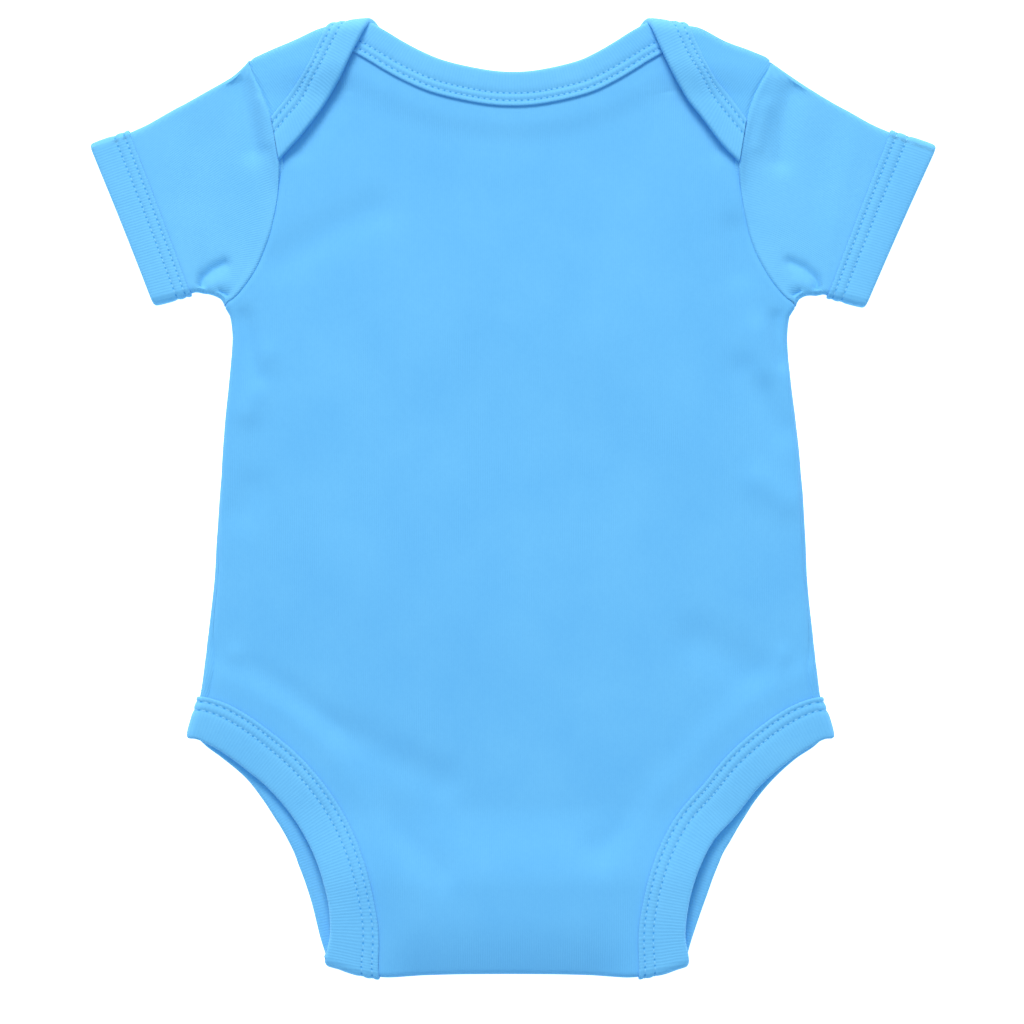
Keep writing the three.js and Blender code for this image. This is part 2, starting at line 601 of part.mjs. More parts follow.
const legPaths = { left: legEdge('left'), right: legEdge('right') };
const HIP_TUCK = -82.2;
const BODY_LEVELS = [HIP_TUCK, -77, -70, -60, -46, -28, -9, 10, 28, 44, 58, 69, ARMPIT, 76.6, SPREAD];
const backLegLine = {
  left: tucked(legPaths.left, LEG_WIDTH, -1),
  right: tucked(legPaths.right, LEG_WIDTH, 1),
};
// The same line where it has come round to the underside, in plan and from the crotch upward
function underneath(side) {
  const line = [];
  for (const point of backLegLine[side]) {
    const fold = sideFold(side, point.y);
    const turn = Math.PI * fold.radius;
    if (fold.sign * (point.x - fold.x) > turn) {
      line.unshift({ x: 2 * fold.x + fold.sign * turn - point.x, y: point.y });
    }
  }
  return line;
}
const frontLegLine = { left: underneath('left'), right: underneath('right') };

function armholeEdge(side, y) {
  return lookup(ARMHOLES, 'y', side, y);
}

// Where a panel's row at `q` ends: at the armhole, at the side seam or inside the leg binding.
// `seamSide` is -1 for the back, which ends before the seam's line, and +1 for the front.
function panelEdge(side, q, seamSide, legLine) {
  const sign = side === 'left' ? -1 : 1;
  const armhole = armholeEdge(side, Math.max(q, SPREAD)) - sign * (GAP / 2);
  const fold = sideFold(side, q);
  const offset = seamSide * lookup(SIDE_SEAMS, 'y', side, q) - GAP / 2;
  const seam = fold.x + sign * ((Math.PI / 2) * fold.radius + offset);
  if (q >= SPREAD) return armhole;
  if (q > ARMPIT) return mix(seam, armhole, (q - ARMPIT) / (SPREAD - ARMPIT));
  if (q >= HIP_TUCK) return seam;
  return crossing(legLine[side], q) ?? seam;
}
const clampedToSeam = (side, q, x) => {
  const seam = panelEdge(side, HIP_TUCK, -1, backLegLine);
  return side === 'left' ? Math.max(seam, x) : Math.min(seam, x);
};
const backEdge = (side, q) => clampedToSeam(side, q, panelEdge(side, q, -1, backLegLine));
const frontEdge = (side, q) => panelEdge(side, q, 1, frontLegLine);

// ---------------------------------------------------------------- back panel
const backNeckLine = tucked(backNeck, NECK_WIDTH, -1);
const BACK_SPLIT = backNeckLine.reduce((low, p) => Math.min(low, p.y), Infinity);

// One side of a panel above the lowest point of its neckline: rows from the armhole to the neck edge
function strap(firstRow, rows, surface) {
  const width = firstRow[firstRow.length - 1] - firstRow[0];
  const shares = firstRow.map((x) => (x - firstRow[0]) / width);
  return rows.map(({ armhole, neck, along }) => shares.map((share) => {
    const x = mix(armhole, neck, share);
    return surface(x, along(x));
  }));
}

// Finds where a row that runs inward from the armhole meets the neck edge
function meet(line, armhole, towards, along) {
  let inside = armhole;
  let beyond = towards;
  const above = (x) => {
    const y = crossingAt(line, x);
    return y !== null && along(x) > y;
  };
  for (let i = 0; i < 40; i += 1) {
    const x = (inside + beyond) / 2;
    if (above(x)) beyond = x;
    else inside = x;
  }
  return inside;
}

function crossingAt(line, x) {
  for (let i = 1; i < line.length; i += 1) {
    const a = line[i - 1];
    const b = line[i];
    if ((a.x - x) * (b.x - x) <= 0 && a.x !== b.x) return mix(a.y, b.y, (x - a.x) / (b.x - a.x));
  }
  return null;
}

function backPanel() {
  const crotch = crotchFold(CENTRE);
  const tabEnd = crotch.y - Math.PI * crotch.radius - (TAB_END - crotch.y);
  const bend = rowsBetween(crotch.y - Math.PI * crotch.radius, crotch.y, FACETS);
  const levels = [
    ...rowsBetween(tabEnd, bend[0], 3).slice(0, -1),
    ...bend,
    -177, -167, -158, -150, -142, -134, -126, -118, -110, -103, -97, -92, -88, -85,
    ...BODY_LEVELS, 86, 98, 112, 126, 138, 149, BACK_SPLIT,
  ];
  // The rows follow the bow of the crotch fold, and run straight again a little above it
  const reach = 4;
  const shiftRow = (q, x) => q + (crotchFold(x).y - crotch.y) * ease((crotch.y + reach - q) / reach);
  const row = (q) => across(q, backEdge('left', q), backEdge('right', q), BACK_TURNS);
  const body = levels.map((q) => row(q).map((x) => onBack(x, shiftRow(q, x))));
  const half = (body[0].length - 1) / 2;
  const top = row(BACK_SPLIT);
  const straps = ['left', 'right'].map((side) => {
    const sign = side === 'left' ? -1 : 1;
    const firstRow = side === 'left' ? top.slice(0, half + 1) : top.slice(half).reverse();
    const rows = [0, 0.12, 0.3, 0.55, 0.75, 0.88, 1].map((step) => {
      const along = (x) => mix(BACK_SPLIT, lookup(SHOULDERS, 'x', 'y', x) - SHOULDER_TUCK, step);
      const armhole = armholeEdge(side, along(sign * 100)) - sign * (GAP / 2);
      const neck = step === 0 ? firstRow[half] : meet(backNeckLine, armhole, CENTRE, along);
      return { armhole, neck, along };
    });
    return strap(firstRow, rows, onBack);
  });
  return wall([body, ...straps]);
}

// ---------------------------------------------------------------- front panel
// The free edge as the front is laid out: left flap tip, shoulder, neckline, shoulder, right flap tip
function frontFreeEdge() {
  const unfold = ({ x, y }) => {
    const fold = shoulderFold(x);
    return { x, y: fold.y + Math.PI * fold.radius + (fold.y - y) };
  };
  const shoulder = (x) => {
    const fold = shoulderFold(x);
    return { x, y: fold.y + (Math.PI / 2) * fold.radius };
  };
  const points = [
    ...LEFT_FLAP.slice(0, 5).map(unfold), shoulder(-55.2), ...FRONT_NECKLINE, shoulder(51.6),
    ...RIGHT_FLAP.slice(0, 5).reverse().map(unfold),
  ];
  return smoothLine(points, 900);
}

const freeEdge = frontFreeEdge();
const frontNeckLine = tucked(freeEdge, NECK_WIDTH, -1);
const FRONT_SPLIT = frontNeckLine.reduce((low, p) => Math.min(low, p.y), Infinity);

function frontPanel() {
  const legLevels = [
    FRONT_END, -170, -160, -150, -141, -132, -124, -116, -108, -101, -95, -91, -87, -84,
  ];
  const bodyLevels = [...BODY_LEVELS, 86, 98, 112, 127, FRONT_SPLIT];
  const row = (q, turns) => across(q, frontEdge('left', q), frontEdge('right', q), turns);
  const body = bodyLevels.map((q) => row(q, FRONT_TURNS).map((x) => onFront(x, q)));
  const aroundFolds = FRONT_TURNS.length;
  const legs = legLevels.map((q) => row(q, []).map((x) => onFront(x, q)));
  legs.push(body[0].slice(aroundFolds, -aroundFolds));
  const half = (body[0].length - 1) / 2;
  const top = row(FRONT_SPLIT, FRONT_TURNS);
  const straps = ['left', 'right'].map((side) => {
    const sign = side === 'left' ? -1 : 1;
    const firstRow = side === 'left' ? top.slice(0, half + 1) : top.slice(half).reverse();
    const tip = side === 'left' ? LEFT_FLAP[0] : RIGHT_FLAP[0];
    const under = [0, 0.04, 0.11, 0.22, 0.38, 0.56, 0.74, 0.88, 1].map((step) => (
      (x) => mix(FRONT_SPLIT, shoulderFold(x).y, step)));
    const bend = rowsBetween(0, 1, FACETS).slice(1).map((step) => (
      (x) => shoulderFold(x).y + Math.PI * shoulderFold(x).radius * step));
    const flap = [0.12, 0.28, 0.45, 0.6, 0.74, 0.86].map((step) => (x) => {
      const fold = shoulderFold(x);
      const length = shoulderFold(tip.x).y - tip.y;
      return fold.y + Math.PI * fold.radius + length * step;
    });
    const rows = [...under, ...bend, ...flap].map((along, i) => {
      const atArmhole = (x) => {
        const q = along(x);
        const fold = shoulderFold(x);
        const y = q < fold.y ? q : Math.min(fold.y, 2 * fold.y + Math.PI * fold.radius - q);
        const folded = q >= fold.y && q <= fold.y + Math.PI * fold.radius;
        return folded ? armholeEdge(side, 168) : armholeEdge(side, y);
      };
      let armhole = sign * 98;
      for (let k = 0; k < 12; k += 1) armhole = atArmhole(armhole);
      armhole -= sign * (GAP / 2);
      const neck = i === 0 ? firstRow[half] : meet(frontNeckLine, armhole, CENTRE, along);
      return { armhole, neck, along };
    });
    return strap(firstRow, rows, onFront);
  });
  return wall([legs, body, ...straps]);
}

// ---------------------------------------------------------------- sleeves and cuffs
// A flattened tube's ring: along its upper side, round the underarm fold, back underneath, and
// round the top fold. `inset` is from the outline to the middle of the wall.
function flatRing({ topX, topY, underX, underY }, low, high, inset, sag, lift) {
  const length = Math.hypot(underX - topX, underY - topY);
  const dir = { x: (underX - topX) / length, y: (underY - topY) / length };
  const radius = (high - low) / 2;
  const first = radius + inset;
  const flat = rowsBetween(first, length - first, RING_STEPS);
  const at = (run, out, z, normal) => {
    const s = sag(Math.min(1, Math.max(0, run / length)));
    const x = topX + dir.x * (run + out) + s.x;
    const y = topY + dir.y * (run + out) + s.y;
    return { p: new THREE.Vector3(x, y, z), n: normal };
  };
  const bend = [0.25, 0.5, 0.75].map((share) => share * Math.PI);
  const ring = flat.map((run) => at(run, 0, high + lift(run / length), new THREE.Vector3(0, 0, 1)));
  const round = (run, sign, angle) => at(
    run,
    sign * radius * Math.sin(angle),
    low + radius + radius * Math.cos(angle),
    new THREE.Vector3(sign * dir.x * Math.sin(angle), sign * dir.y * Math.sin(angle), Math.cos(angle)),
  );
  ring.push(...bend.map((angle) => round(length - first, 1, angle)));
  ring.push(...[...flat].reverse().map((run) => at(run, 0, low, new THREE.Vector3(0, 0, -1))));
  ring.push(...[...bend].reverse().map((angle) => round(first, -1, angle)));
  return ring;
}

// The armhole seam as a ring, on the sleeve's side of the gap
function armholeRing(side) {
  const sign = side === 'left' ? -1 : 1;
  const levels = rowsBetween(165, SPREAD + 0.6, RING_STEPS);
  const clear = GAP / 2 + SEAM_CLEAR;
  const slope = (y) => (lookup(ARMHOLES, 'y', side, y + 0.5) - lookup(ARMHOLES, 'y', side, y - 0.5));
  const seam = (y, z, normal) => {
    const s = slope(y);
    const out = (sign * clear) / Math.hypot(1, s);
    return {
      p: new THREE.Vector3(armholeEdge(side, y) + out, y - out * s, z),
      n: new THREE.Vector3(0, 0, normal),
    };
  };
  const upper = (y) => mix(backHeight(armholeEdge(side, y), y), CREST, ease((y - 118) / 18));
  const ring = levels.map((y) => seam(y, upper(y), 1));
  const bottom = sideFold(side, ARMPIT);
  const top = shoulderFold(sign * 103.5);
  const bend = [0.25, 0.5, 0.75].map((share) => share * Math.PI);
  // Round the underarm the ring follows the notch in which the side seam ends
  const notch = (angle) => ARMPIT + SEAM_CLEAR + (SPREAD - ARMPIT) * Math.abs(1 - (2 * angle) / Math.PI);
  ring.push(...bend.map((angle) => ({
    p: new THREE.Vector3(
      bottom.x + sign * bottom.radius * Math.sin(angle),
      notch(angle),
      bottom.z + bottom.radius * Math.cos(angle),
    ),
    n: new THREE.Vector3(sign * Math.sin(angle), 0, Math.cos(angle)),
  })));
  ring.push(...[...levels].reverse().map((y) => seam(y, frontHeight(armholeEdge(side, y), y), -1)));
  ring.push(...[...bend].reverse().map((angle) => ({
    p: new THREE.Vector3(
      armholeEdge(side, 168) + sign * clear,
      top.y + top.radius * Math.sin(angle),
      top.z + top.radius * Math.cos(angle),
    ),
    n: new THREE.Vector3(0, Math.sin(angle), Math.cos(angle)),
  })));
  return ring;
}

function sleeveRing(side, share, inset, outline) {
  const rows = side === 'left' ? LEFT_SLEEVE : RIGHT_SLEEVE;
  const at = outline || Object.fromEntries(['topX', 'topY', 'underX', 'underY'].map((column) => (
    [column, lookup(rows, 'share', column, share)])));
  const low = mix(FLOOR, LOW, ease((share - 0.55) / 0.25));
  const high = mix(CREST - 0.6, MIDDLE, ease((share - 0.55) / 0.25));
  const bow = (1 - share) ** 1.5;
  const first = rows[0];
  const sag = (run) => {
    const y = mix(first.topY, first.underY, run);
    const straight = mix(first.topX, first.underX, run);
    const curved = armholeEdge(side, Math.min(165, Math.max(SPREAD, y)));
    return { x: bow * (curved - straight) * Math.sin(Math.PI * run) ** 0.5, y: 0 };
  };
  const lift = (run) => -0.9 * Math.sin(Math.PI * run) * Math.sin(Math.PI * Math.min(1, share * 1.35));
  return flatRing(at, low, high, inset, sag, share < 0.74 ? lift : () => 0);
}

function sleeve(side) {
  const cuff = side === 'left' ? LEFT_CUFF : RIGHT_CUFF;
  const rows = side === 'left' ? LEFT_SLEEVE : RIGHT_SLEEVE;
  const end = rows[rows.length - 1];
  const share = TUCK / CUFF_WIDTH;
  const tuckedEnd = {};
  for (const key of Object.keys(cuff)) tuckedEnd[key] = mix(end[key], cuff[key], share);
  const inBinding = BINDING / 2;
  const grid = [
    armholeRing(side),
    ...[0.14, 0.3, 0.5, 0.72, 0.92].map((at) => sleeveRing(side, at, at > 0.8 ? inBinding : FLOOR)),
    sleeveRing(side, 1, inBinding),
    sleeveRing(side, 1, inBinding, tuckedEnd),
  ];
  return wall([grid.map((ring) => [...ring, ring[0]])]);
}

function cuffBand(side) {
  const cuff = side === 'left' ? LEFT_CUFF : RIGHT_CUFF;
  const ridge = sleeveRing(side, 1, BINDING / 2);
  const hem = sleeveRing(side, 1, BINDING / 2, cuff);
  const section = bindingSection(CUFF_WIDTH);
  const rings = ridge.map((from, i) => section.map((point) => {
    const share = point.across / CUFF_WIDTH;
    return from.p.clone().lerp(hem[i].p, share).addScaledVector(from.n, point.out);
  }));
  return sweep(rings, section, true);
}

// ---------------------------------------------------------------- snaps
const lathe = (points) => {
  const geometry = new THREE.LatheGeometry(points.map(([r, z]) => new THREE.Vector2(r, z)), 10);
  geometry.rotateX(Math.PI / 2);
  return geometry;
};
const snapCap = () => lathe([[0, 0], [4.4, 0], [4.7, 0.35], [4.7, 1], [0, 1]]);
const snapStud = () => lathe([[0, 2.6], [4.4, 2.6], [4.4, 3.6], [2.6, 4], [4.2, 4.4], [4.2, 4.9], [0, 4.9]]);

// ---------------------------------------------------------------- folds that the bindings cross
const TURNING = rowsBetween(0, Math.PI, FACETS);
const aroundShoulder = (point) => {
  const fold = shoulderFold(point.x);
  return (point.y - fold.y) / fold.radius;
};
const shoulderBends = [
  { measure: aroundShoulder, angles: [...TURNING].reverse() },
  { measure: aroundShoulder, angles: TURNING },
];
// How far inside the armhole seams a point of the laid-out flaps lies
function clearOfArmholes(point) {
  const fold = shoulderFold(point.x);
  const y = Math.min(fold.y, 2 * fold.y + Math.PI * fold.radius - point.y);
  return armholeDistance(point.x, y) - GAP / 2;
}
// How far inside the slanting cuts that hide the back binding's ends under the flaps a point lies
const underFlaps = (point) =>
  NECK_CUT.y - point.y + NECK_CUT.slope * Math.min(point.x - NECK_CUT.left, NECK_CUT.right - point.x);
const legBends = (side) => [
  {
    measure: (point) => (crotchFold(point.x).y - point.y) / crotchFold(point.x).radius,
    angles: [...TURNING].reverse(),
  },
  {
    measure: (point) => {
      const fold = sideFold(side, point.y);
      return (fold.sign * (point.x - fold.x)) / fold.radius;
    },
    angles: TURNING,
  },
];

// ---------------------------------------------------------------- the garment
const BODY = 0x6fc0fc;
const RIB = 0x79c6fc;
const SNAP = 0xf2f4f5;
const garment = new THREE.Group();
garment.name = 'baby_romper';
const backNeckBand = binding(backNeck, NECK_WIDTH, -1, onBack, [], [18], underFlaps);
const frontSpans = [7, 17, 7];
const frontNeckBand = binding(freeEdge, NECK_WIDTH, -1, onFront, shoulderBends, frontSpans, clearOfArmholes);
garment.add(
  piece('back_panel', backPanel(), BODY),
  piece('front_panel', frontPanel(), BODY),
  piece('back_neck_band', backNeckBand, RIB),
  piece('front_neck_band', frontNeckBand, RIB),
);
for (const side of ['left', 'right']) {
  garment.add(
    piece(`sleeve_${side}`, sleeve(side), BODY),
    piece(`cuff_band_${side}`, cuffBand(side), RIB),
    piece(
      `leg_band_${side}`,
      binding(legPaths[side], LEG_WIDTH, side === 'left' ? -1 : 1, onBack, legBends(side), [2, 13, 12]),
      RIB,
    ),
  );
}
for (const snap of SNAPS) {
  const cap = piece(`snap_cap_${snap.name}`, snapCap(), SNAP);
  const stud = piece(`snap_stud_${snap.name}`, snapStud(), SNAP);
  cap.position.set(snap.x, SNAP_Y, 0);
  stud.position.set(snap.x, SNAP_Y, 0);
  garment.add(cap, stud);
}

// The origin is under the middle of the garment, on the table
const box = new THREE.Box3().setFromObject(garment, true);
garment.position.set(-(box.min.x + box.max.x) / 2, -(box.min.y + box.max.y) / 2, -box.min.z);

export default garment;
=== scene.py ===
import json
import math

import bmesh
import bpy
import numpy as np
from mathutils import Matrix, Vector

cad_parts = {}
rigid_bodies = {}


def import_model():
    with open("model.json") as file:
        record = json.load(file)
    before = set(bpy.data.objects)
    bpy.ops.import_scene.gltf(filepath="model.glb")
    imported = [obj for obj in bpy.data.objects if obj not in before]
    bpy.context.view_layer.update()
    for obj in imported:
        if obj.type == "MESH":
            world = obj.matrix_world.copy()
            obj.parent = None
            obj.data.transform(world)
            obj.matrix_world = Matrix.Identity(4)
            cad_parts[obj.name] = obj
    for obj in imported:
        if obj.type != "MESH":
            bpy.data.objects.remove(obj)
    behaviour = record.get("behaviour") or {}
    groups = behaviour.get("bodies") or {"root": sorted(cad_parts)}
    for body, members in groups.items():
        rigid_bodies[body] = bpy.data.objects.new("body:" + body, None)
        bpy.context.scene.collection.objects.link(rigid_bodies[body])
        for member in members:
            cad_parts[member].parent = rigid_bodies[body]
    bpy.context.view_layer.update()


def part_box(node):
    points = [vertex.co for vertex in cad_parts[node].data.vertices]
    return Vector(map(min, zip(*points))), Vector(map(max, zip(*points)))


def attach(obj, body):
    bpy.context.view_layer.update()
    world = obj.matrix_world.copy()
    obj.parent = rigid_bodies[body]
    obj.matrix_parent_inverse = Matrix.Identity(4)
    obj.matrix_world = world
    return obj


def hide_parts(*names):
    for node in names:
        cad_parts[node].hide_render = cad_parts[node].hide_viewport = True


for left_over in list(bpy.data.objects):
    bpy.data.objects.remove(left_over)
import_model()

# ------------------------------------------------------------------ the back
# The back of the bodysuit is one piece of cotton interlock, from the shoulders down to the crotch
# tab, which is folded under. It lies uppermost, so its own seams and soft creases show.
# Sizes are in millimetres from the middle of the chest; `lay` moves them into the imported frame.
# The middle snap lies 168.5 mm below that point and 2.5 mm to its left.
cap_low, cap_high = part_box("snap_cap_middle")
chest = np.array([(cap_low.x + cap_high.x) * 500 + 2.5, (cap_low.y + cap_high.y) * 500 + 168.5, 0])

cloth = 1.0                      # one layer of interlock
gap = 0.3                        # clearance at a seam
low, middle, high = 1.8, 5.7, 9.6    # middles of three bindings that lie on each other
floor_level = cloth / 2
relaxed = 4.0                    # uppermost layer, away from every edge
seam_level = 4.4                 # the same along the side seams and armholes
over_front_neck = 4.5            # the same over the front neck binding, which it hides
crest = 5.2                      # sleeves and flaps at the armholes
neck_width, leg_width = 13.3, 17.5
tuck = 5.0                       # how far a panel's edge reaches into its binding
centre = -1.0                    # x of the middle of the body
armpit, spread = 74.8, 78.0      # y of the armpits, and of the first row that is all armhole
tab_end = -157.0                 # y of the back tab's end, as it lies underneath
hip_tuck = -82.2                 # y where the panels' edges go into the leg bindings
column_of = {-1: 1, 1: 2}        # the left (-1) and the right (1) side in the tables below

# y, left and right: outermost line of the side folds
sides = [(-200, -126.9, 124.5), (-94.5, -126.9, 124.5), (-87, -125.3, 122.9), (-79, -123, 120.3),
         (-71.4, -121.7, 119.2), (-55.7, -119.9, 117.5), (-32.2, -117.2, 115.1),
         (-16.5, -116.4, 114.4), (14.9, -114.5, 112.4), (30.6, -113.3, 110.8),
         (46.3, -111.7, 108.9), (62, -110.5, 107.7), (69, -111, 108.1), (72.5, -111.8, 108.9),
         (75.4, -113.5, 110.9), (100, -114.7, 112.3)]
# y, left and right: how far round from the fold each side seam lies
side_seams = [(-200, 4.4, 4.2), (-77, 4.4, 4.2), (-69, 4.8, 4.6), (-62, 4, 3.4), (-53, 2.8, 2.4),
              (-43, 2.2, 1.8), (-24, 2, 2.2), (-1, 0.8, 2.2), (15, 0, 1), (100, 0, 0)]
# y, left and right: armhole seams
armholes = [(78, -110.7, 108), (80.5, -108, 105.3), (85.9, -103.8, 101.1), (91.4, -100.6, 97.8),
            (98.1, -97.8, 94.6), (105.1, -95.4, 92.4), (116.9, -93, 90), (125.1, -92.2, 88.9),
            (131.4, -92, 88.6), (138.9, -93.1, 89.5), (145.2, -94.1, 90.8), (151.4, -95.8, 92.3),
            (157, -97.9, 94.2), (163, -100.8, 97.2), (168, -103.4, 100.6), (172, -104.4, 102.4),
            (240, -92.4, 88.9)]
# x, y: shoulder folds, crotch fold
shoulders = [(-110, 168.4), (-104.2, 171.6), (-94.7, 175.9), (-84.5, 180), (-77, 183.4),
             (-72, 184.8), (-65, 185.8), (-58, 186.6), (-52, 187), (-46, 187), (42, 187),
             (48, 187), (54, 186.6), (61, 185.8), (68, 184.9), (73, 184), (82.6, 179.2),
             (92.8, 175.6), (101.8, 171.9), (110, 168)]
crotch = [(-75, -181.3), (-69, -182.8), (-63, -184.9), (-57, -186.4), (-50.5, -187.4), (-44, -187.5),
          (-20, -186.8), (16, -186.8), (40, -187.5), (46.5, -187.4), (53, -186.4), (59, -184.9),
          (65, -182.8), (71, -181.3)]
# x, y: necklines and the free edges of the two shoulder flaps, from the tip inwards
back_neckline = [(-66, 192), (-60, 188.9), (-54.2, 185.7), (-48.4, 182.3), (-44.5, 179.9),
                 (-36.7, 175.7), (-27.3, 171.8), (-9.2, 167.9), (-0.2, 167.3), (8.8, 167.9),
                 (25.7, 171.8), (33.9, 175.7), (41, 179.9), (44.7, 182.3), (50.6, 185.7),
                 (56.4, 188.9), (62.5, 192)]
front_neckline = [(-48.5, 179), (-39, 166), (-27, 154), (-13, 147.6), (-0.8, 146.3), (11, 147.6),
                  (25, 154), (37, 166), (45.5, 179)]
left_flap = [(-92.4, 131.6), (-83.4, 141.8), (-76.3, 150.8), (-68.8, 162.8), (-63.7, 173),
             (-58.6, 182.2)]
right_flap = [(88.9, 131), (79.8, 140.8), (71.8, 151.4), (64.1, 162.8), (57.9, 175), (54, 182.4)]
# y, left and right: leg openings above, underneath, and on the folded tab
leg_back = [(-181.5, -73.9, 68.7), (-171.4, -71.9, 67.3), (-160, -72.3, 68.4),
            (-150.2, -74.5, 70.8), (-142, -77.3, 74.1), (-134.2, -81, 78.5),
            (-124.5, -87.2, 87.4), (-113.4, -96.8, 96.4), (-108.2, -103, 102),
            (-101.6, -111.6, 110.3), (-97, -119.2, 117.6)]
leg_front = [(-180, -73.9, 68.4), (-173.4, -76, 70.3), (-157.7, -80, 75.7), (-142, -85.5, 81.6),
             (-134.2, -89.1, 85.9), (-126.3, -93.8, 90.6), (-118.5, -98.9, 95.7),
             (-110.6, -105.1, 102.4), (-102.8, -114.2, 111), (-98.4, -120.2, 117.6)]
leg_tab = [(-157, -56.5, 52), (-165, -64, 59.4), (-172, -69.6, 64.8), (-178.5, -72.8, 67.8)]
# Creases of the uppermost layer: the points along each, half width, height (a trough is negative)
creases = [([(-54, 113), (-70, 106), (-92, 93)], 8, -1.1), ([(-106, 70), (-104, 60), (-100, 48)], 4.5, -1.5),
           ([(-98, 56), (-101, 45), (-104, 34)], 5, 1.1), ([(-103, 3), (-107, -5)], 7, -0.9),
           ([(87, 105), (89, 89)], 6, -1.2), ([(91, 50), (98, 38), (105, 27)], 6, -1.2),
           ([(97, 7), (107, -1)], 6, 1.1), ([(73, -56), (88, -64), (100, -75)], 9, -1.4),
           ([(-107, -71), (-90, -79), (-72, -91)], 7, -1.6),
           ([(-60, -95), (-44, -104), (-29, -111)], 8, -1.4),
           ([(-56, -130), (-42, -137), (-29, -146)], 8, -1.3), ([(34, -138), (54, -130)], 7, -1.2),
           ([(103, 70), (106, 54)], 3.5, -1.5), ([(96, 66), (98, 50)], 5, 1.0),
           ([(-109, -62), (-104, -80)], 3.5, 0.9), ([(106, -62), (102, -78)], 3.5, 0.9),
           ([(-84, 137), (-77, 147), (-71, 157), (-67, 164)], 5, -1.3),
           ([(80, 138), (73, 149), (66, 160)], 5, -1.3),
           ([(-20, 30), (30, 18)], 26, -0.5), ([(-60, -30), (-10, -52)], 24, 0.6),
           ([(40, 60), (66, 20)], 22, 0.5)]


def ease(t):
    t = np.clip(t, 0, 1)
    return t * t * (3 - 2 * t)


def mix(a, b, t):
    return a + (b - a) * t


def flow(keys, values, at, even=True):
    """Smooth value between the rows of a table; unless `even`, a nearer row counts for more."""
    keys, values = np.asarray(keys, float), np.asarray(values, float)
    a = np.maximum(np.arange(len(keys)) - 1, 0)
    b = np.minimum(np.arange(len(keys)) + 1, len(keys) - 1)
    slope = (values[b] - values[a]) / (keys[b] - keys[a])
    if not even:
        each = np.diff(values) / np.diff(keys)
        slope[1:-1] = each[:-1] + each[1:] - slope[1:-1]
    at = np.clip(at, keys[0], keys[-1])
    i = np.clip(np.searchsorted(keys, at, side="right") - 1, 0, len(keys) - 2)
    step = keys[i + 1] - keys[i]
    t = (at - keys[i]) / step
    rise = values[i + 1] - values[i]
    bend = (1 - t) * (slope[i] * step - rise) - t * (slope[i + 1] * step - rise)
    return values[i] + rise * t + t * (1 - t) * bend


def column(rows, at, which=1):
    """A table's column at any height, or at any x for the shoulder and crotch folds."""
    rows = np.array(rows, float)
    return flow(rows[:, 0], rows[:, which], at)


def run_along(line):
    """How far along a line each of its points lies."""
    return np.concatenate([[0], np.cumsum(np.linalg.norm(np.diff(line, axis=0), axis=1))])


def smooth_line(points, count):
    """Evenly spaced points on a smooth curve through the given ones."""
    points = np.array(points, float)
    chord = np.linalg.norm(np.diff(points, axis=0), axis=1)
    keys = np.concatenate([[0], np.cumsum(np.sqrt(chord))])
    at = np.linspace(0, keys[-1], 40 * len(points))
    fine = np.stack([flow(keys, points[:, k], at, False) for k in (0, 1)], axis=1)
    run = run_along(fine)
    even = np.linspace(0, run[-1], count + 1)
    return np.stack([np.interp(even, run, fine[:, 0]), np.interp(even, run, fine[:, 1])], axis=1)


def moved(line, distance):
    """The same line moved to its left as it runs."""
    ahead = np.gradient(line, axis=0)
    ahead /= np.linalg.norm(ahead, axis=1)[:, None]
    return line + np.stack([-ahead[:, 1], ahead[:, 0]], axis=1) * distance


def distance_to(line, x, y):
    """How far points lie from the nearest place on a line."""
    best = np.full(np.broadcast(x, y).shape, 1e9)
    for a, b in zip(line[:-1], line[1:]):
        d = b - a
        t = np.clip(((x - a[0]) * d[0] + (y - a[1]) * d[1]) / (d @ d), 0, 1)
        best = np.minimum(best, np.hypot(x - a[0] - d[0] * t, y - a[1] - d[1] * t))
    return best


def side_of(rows, which):
    """One side of a table as points (x, y)."""
    return [(row[which], row[0]) for row in rows]


def leg_line(rows, which):
    """One leg opening as it lies, up to where it turns round the hip."""
    return smooth_line(side_of(rows, which) + [(sides[1][which], sides[1][0])], 26)


back_legs = [leg_line(leg_back, which) for which in (1, 2)]
front_legs = [leg_line(leg_front, which) for which in (1, 2)]
back_neck = smooth_line(back_neckline, 60)
# The front neckline and both flaps' edges run on a little past the shoulder folds
front_neck = smooth_line([(-54.5, 186)] + front_neckline + [(50.5, 186)], 30)
flap_edges = [smooth_line(left_flap + [(-55.4, 187)], 14), smooth_line(right_flap + [(51.2, 187)], 14)]


def near(edges, width, x, y, fade=13.0):
    """1 inside a band of this width along the edges, easing to 0 beyond it."""
    return np.max([1 - ease((distance_to(e, x, y) - width - 5) / fade) for e in edges], axis=0)


def top_of(a, b, soft=0.5):
    """The higher of two heights, with the change between them rounded."""
    return (a + b + np.sqrt((a - b) ** 2 + soft ** 2)) / 2


def crease_height(rows, x, y):
    """Each crease is a soft trough or ridge along its line."""
    total = 0
    for line, width, height in rows:
        total = total + height * np.exp(-(distance_to(np.array(line, float), x, y) / width) ** 2)
    return total


def edge_distance(rows, x, y):
    """How far points lie inside a table's left and right lines."""
    return np.minimum(x - column(rows, y, 1), column(rows, y, 2) - x)


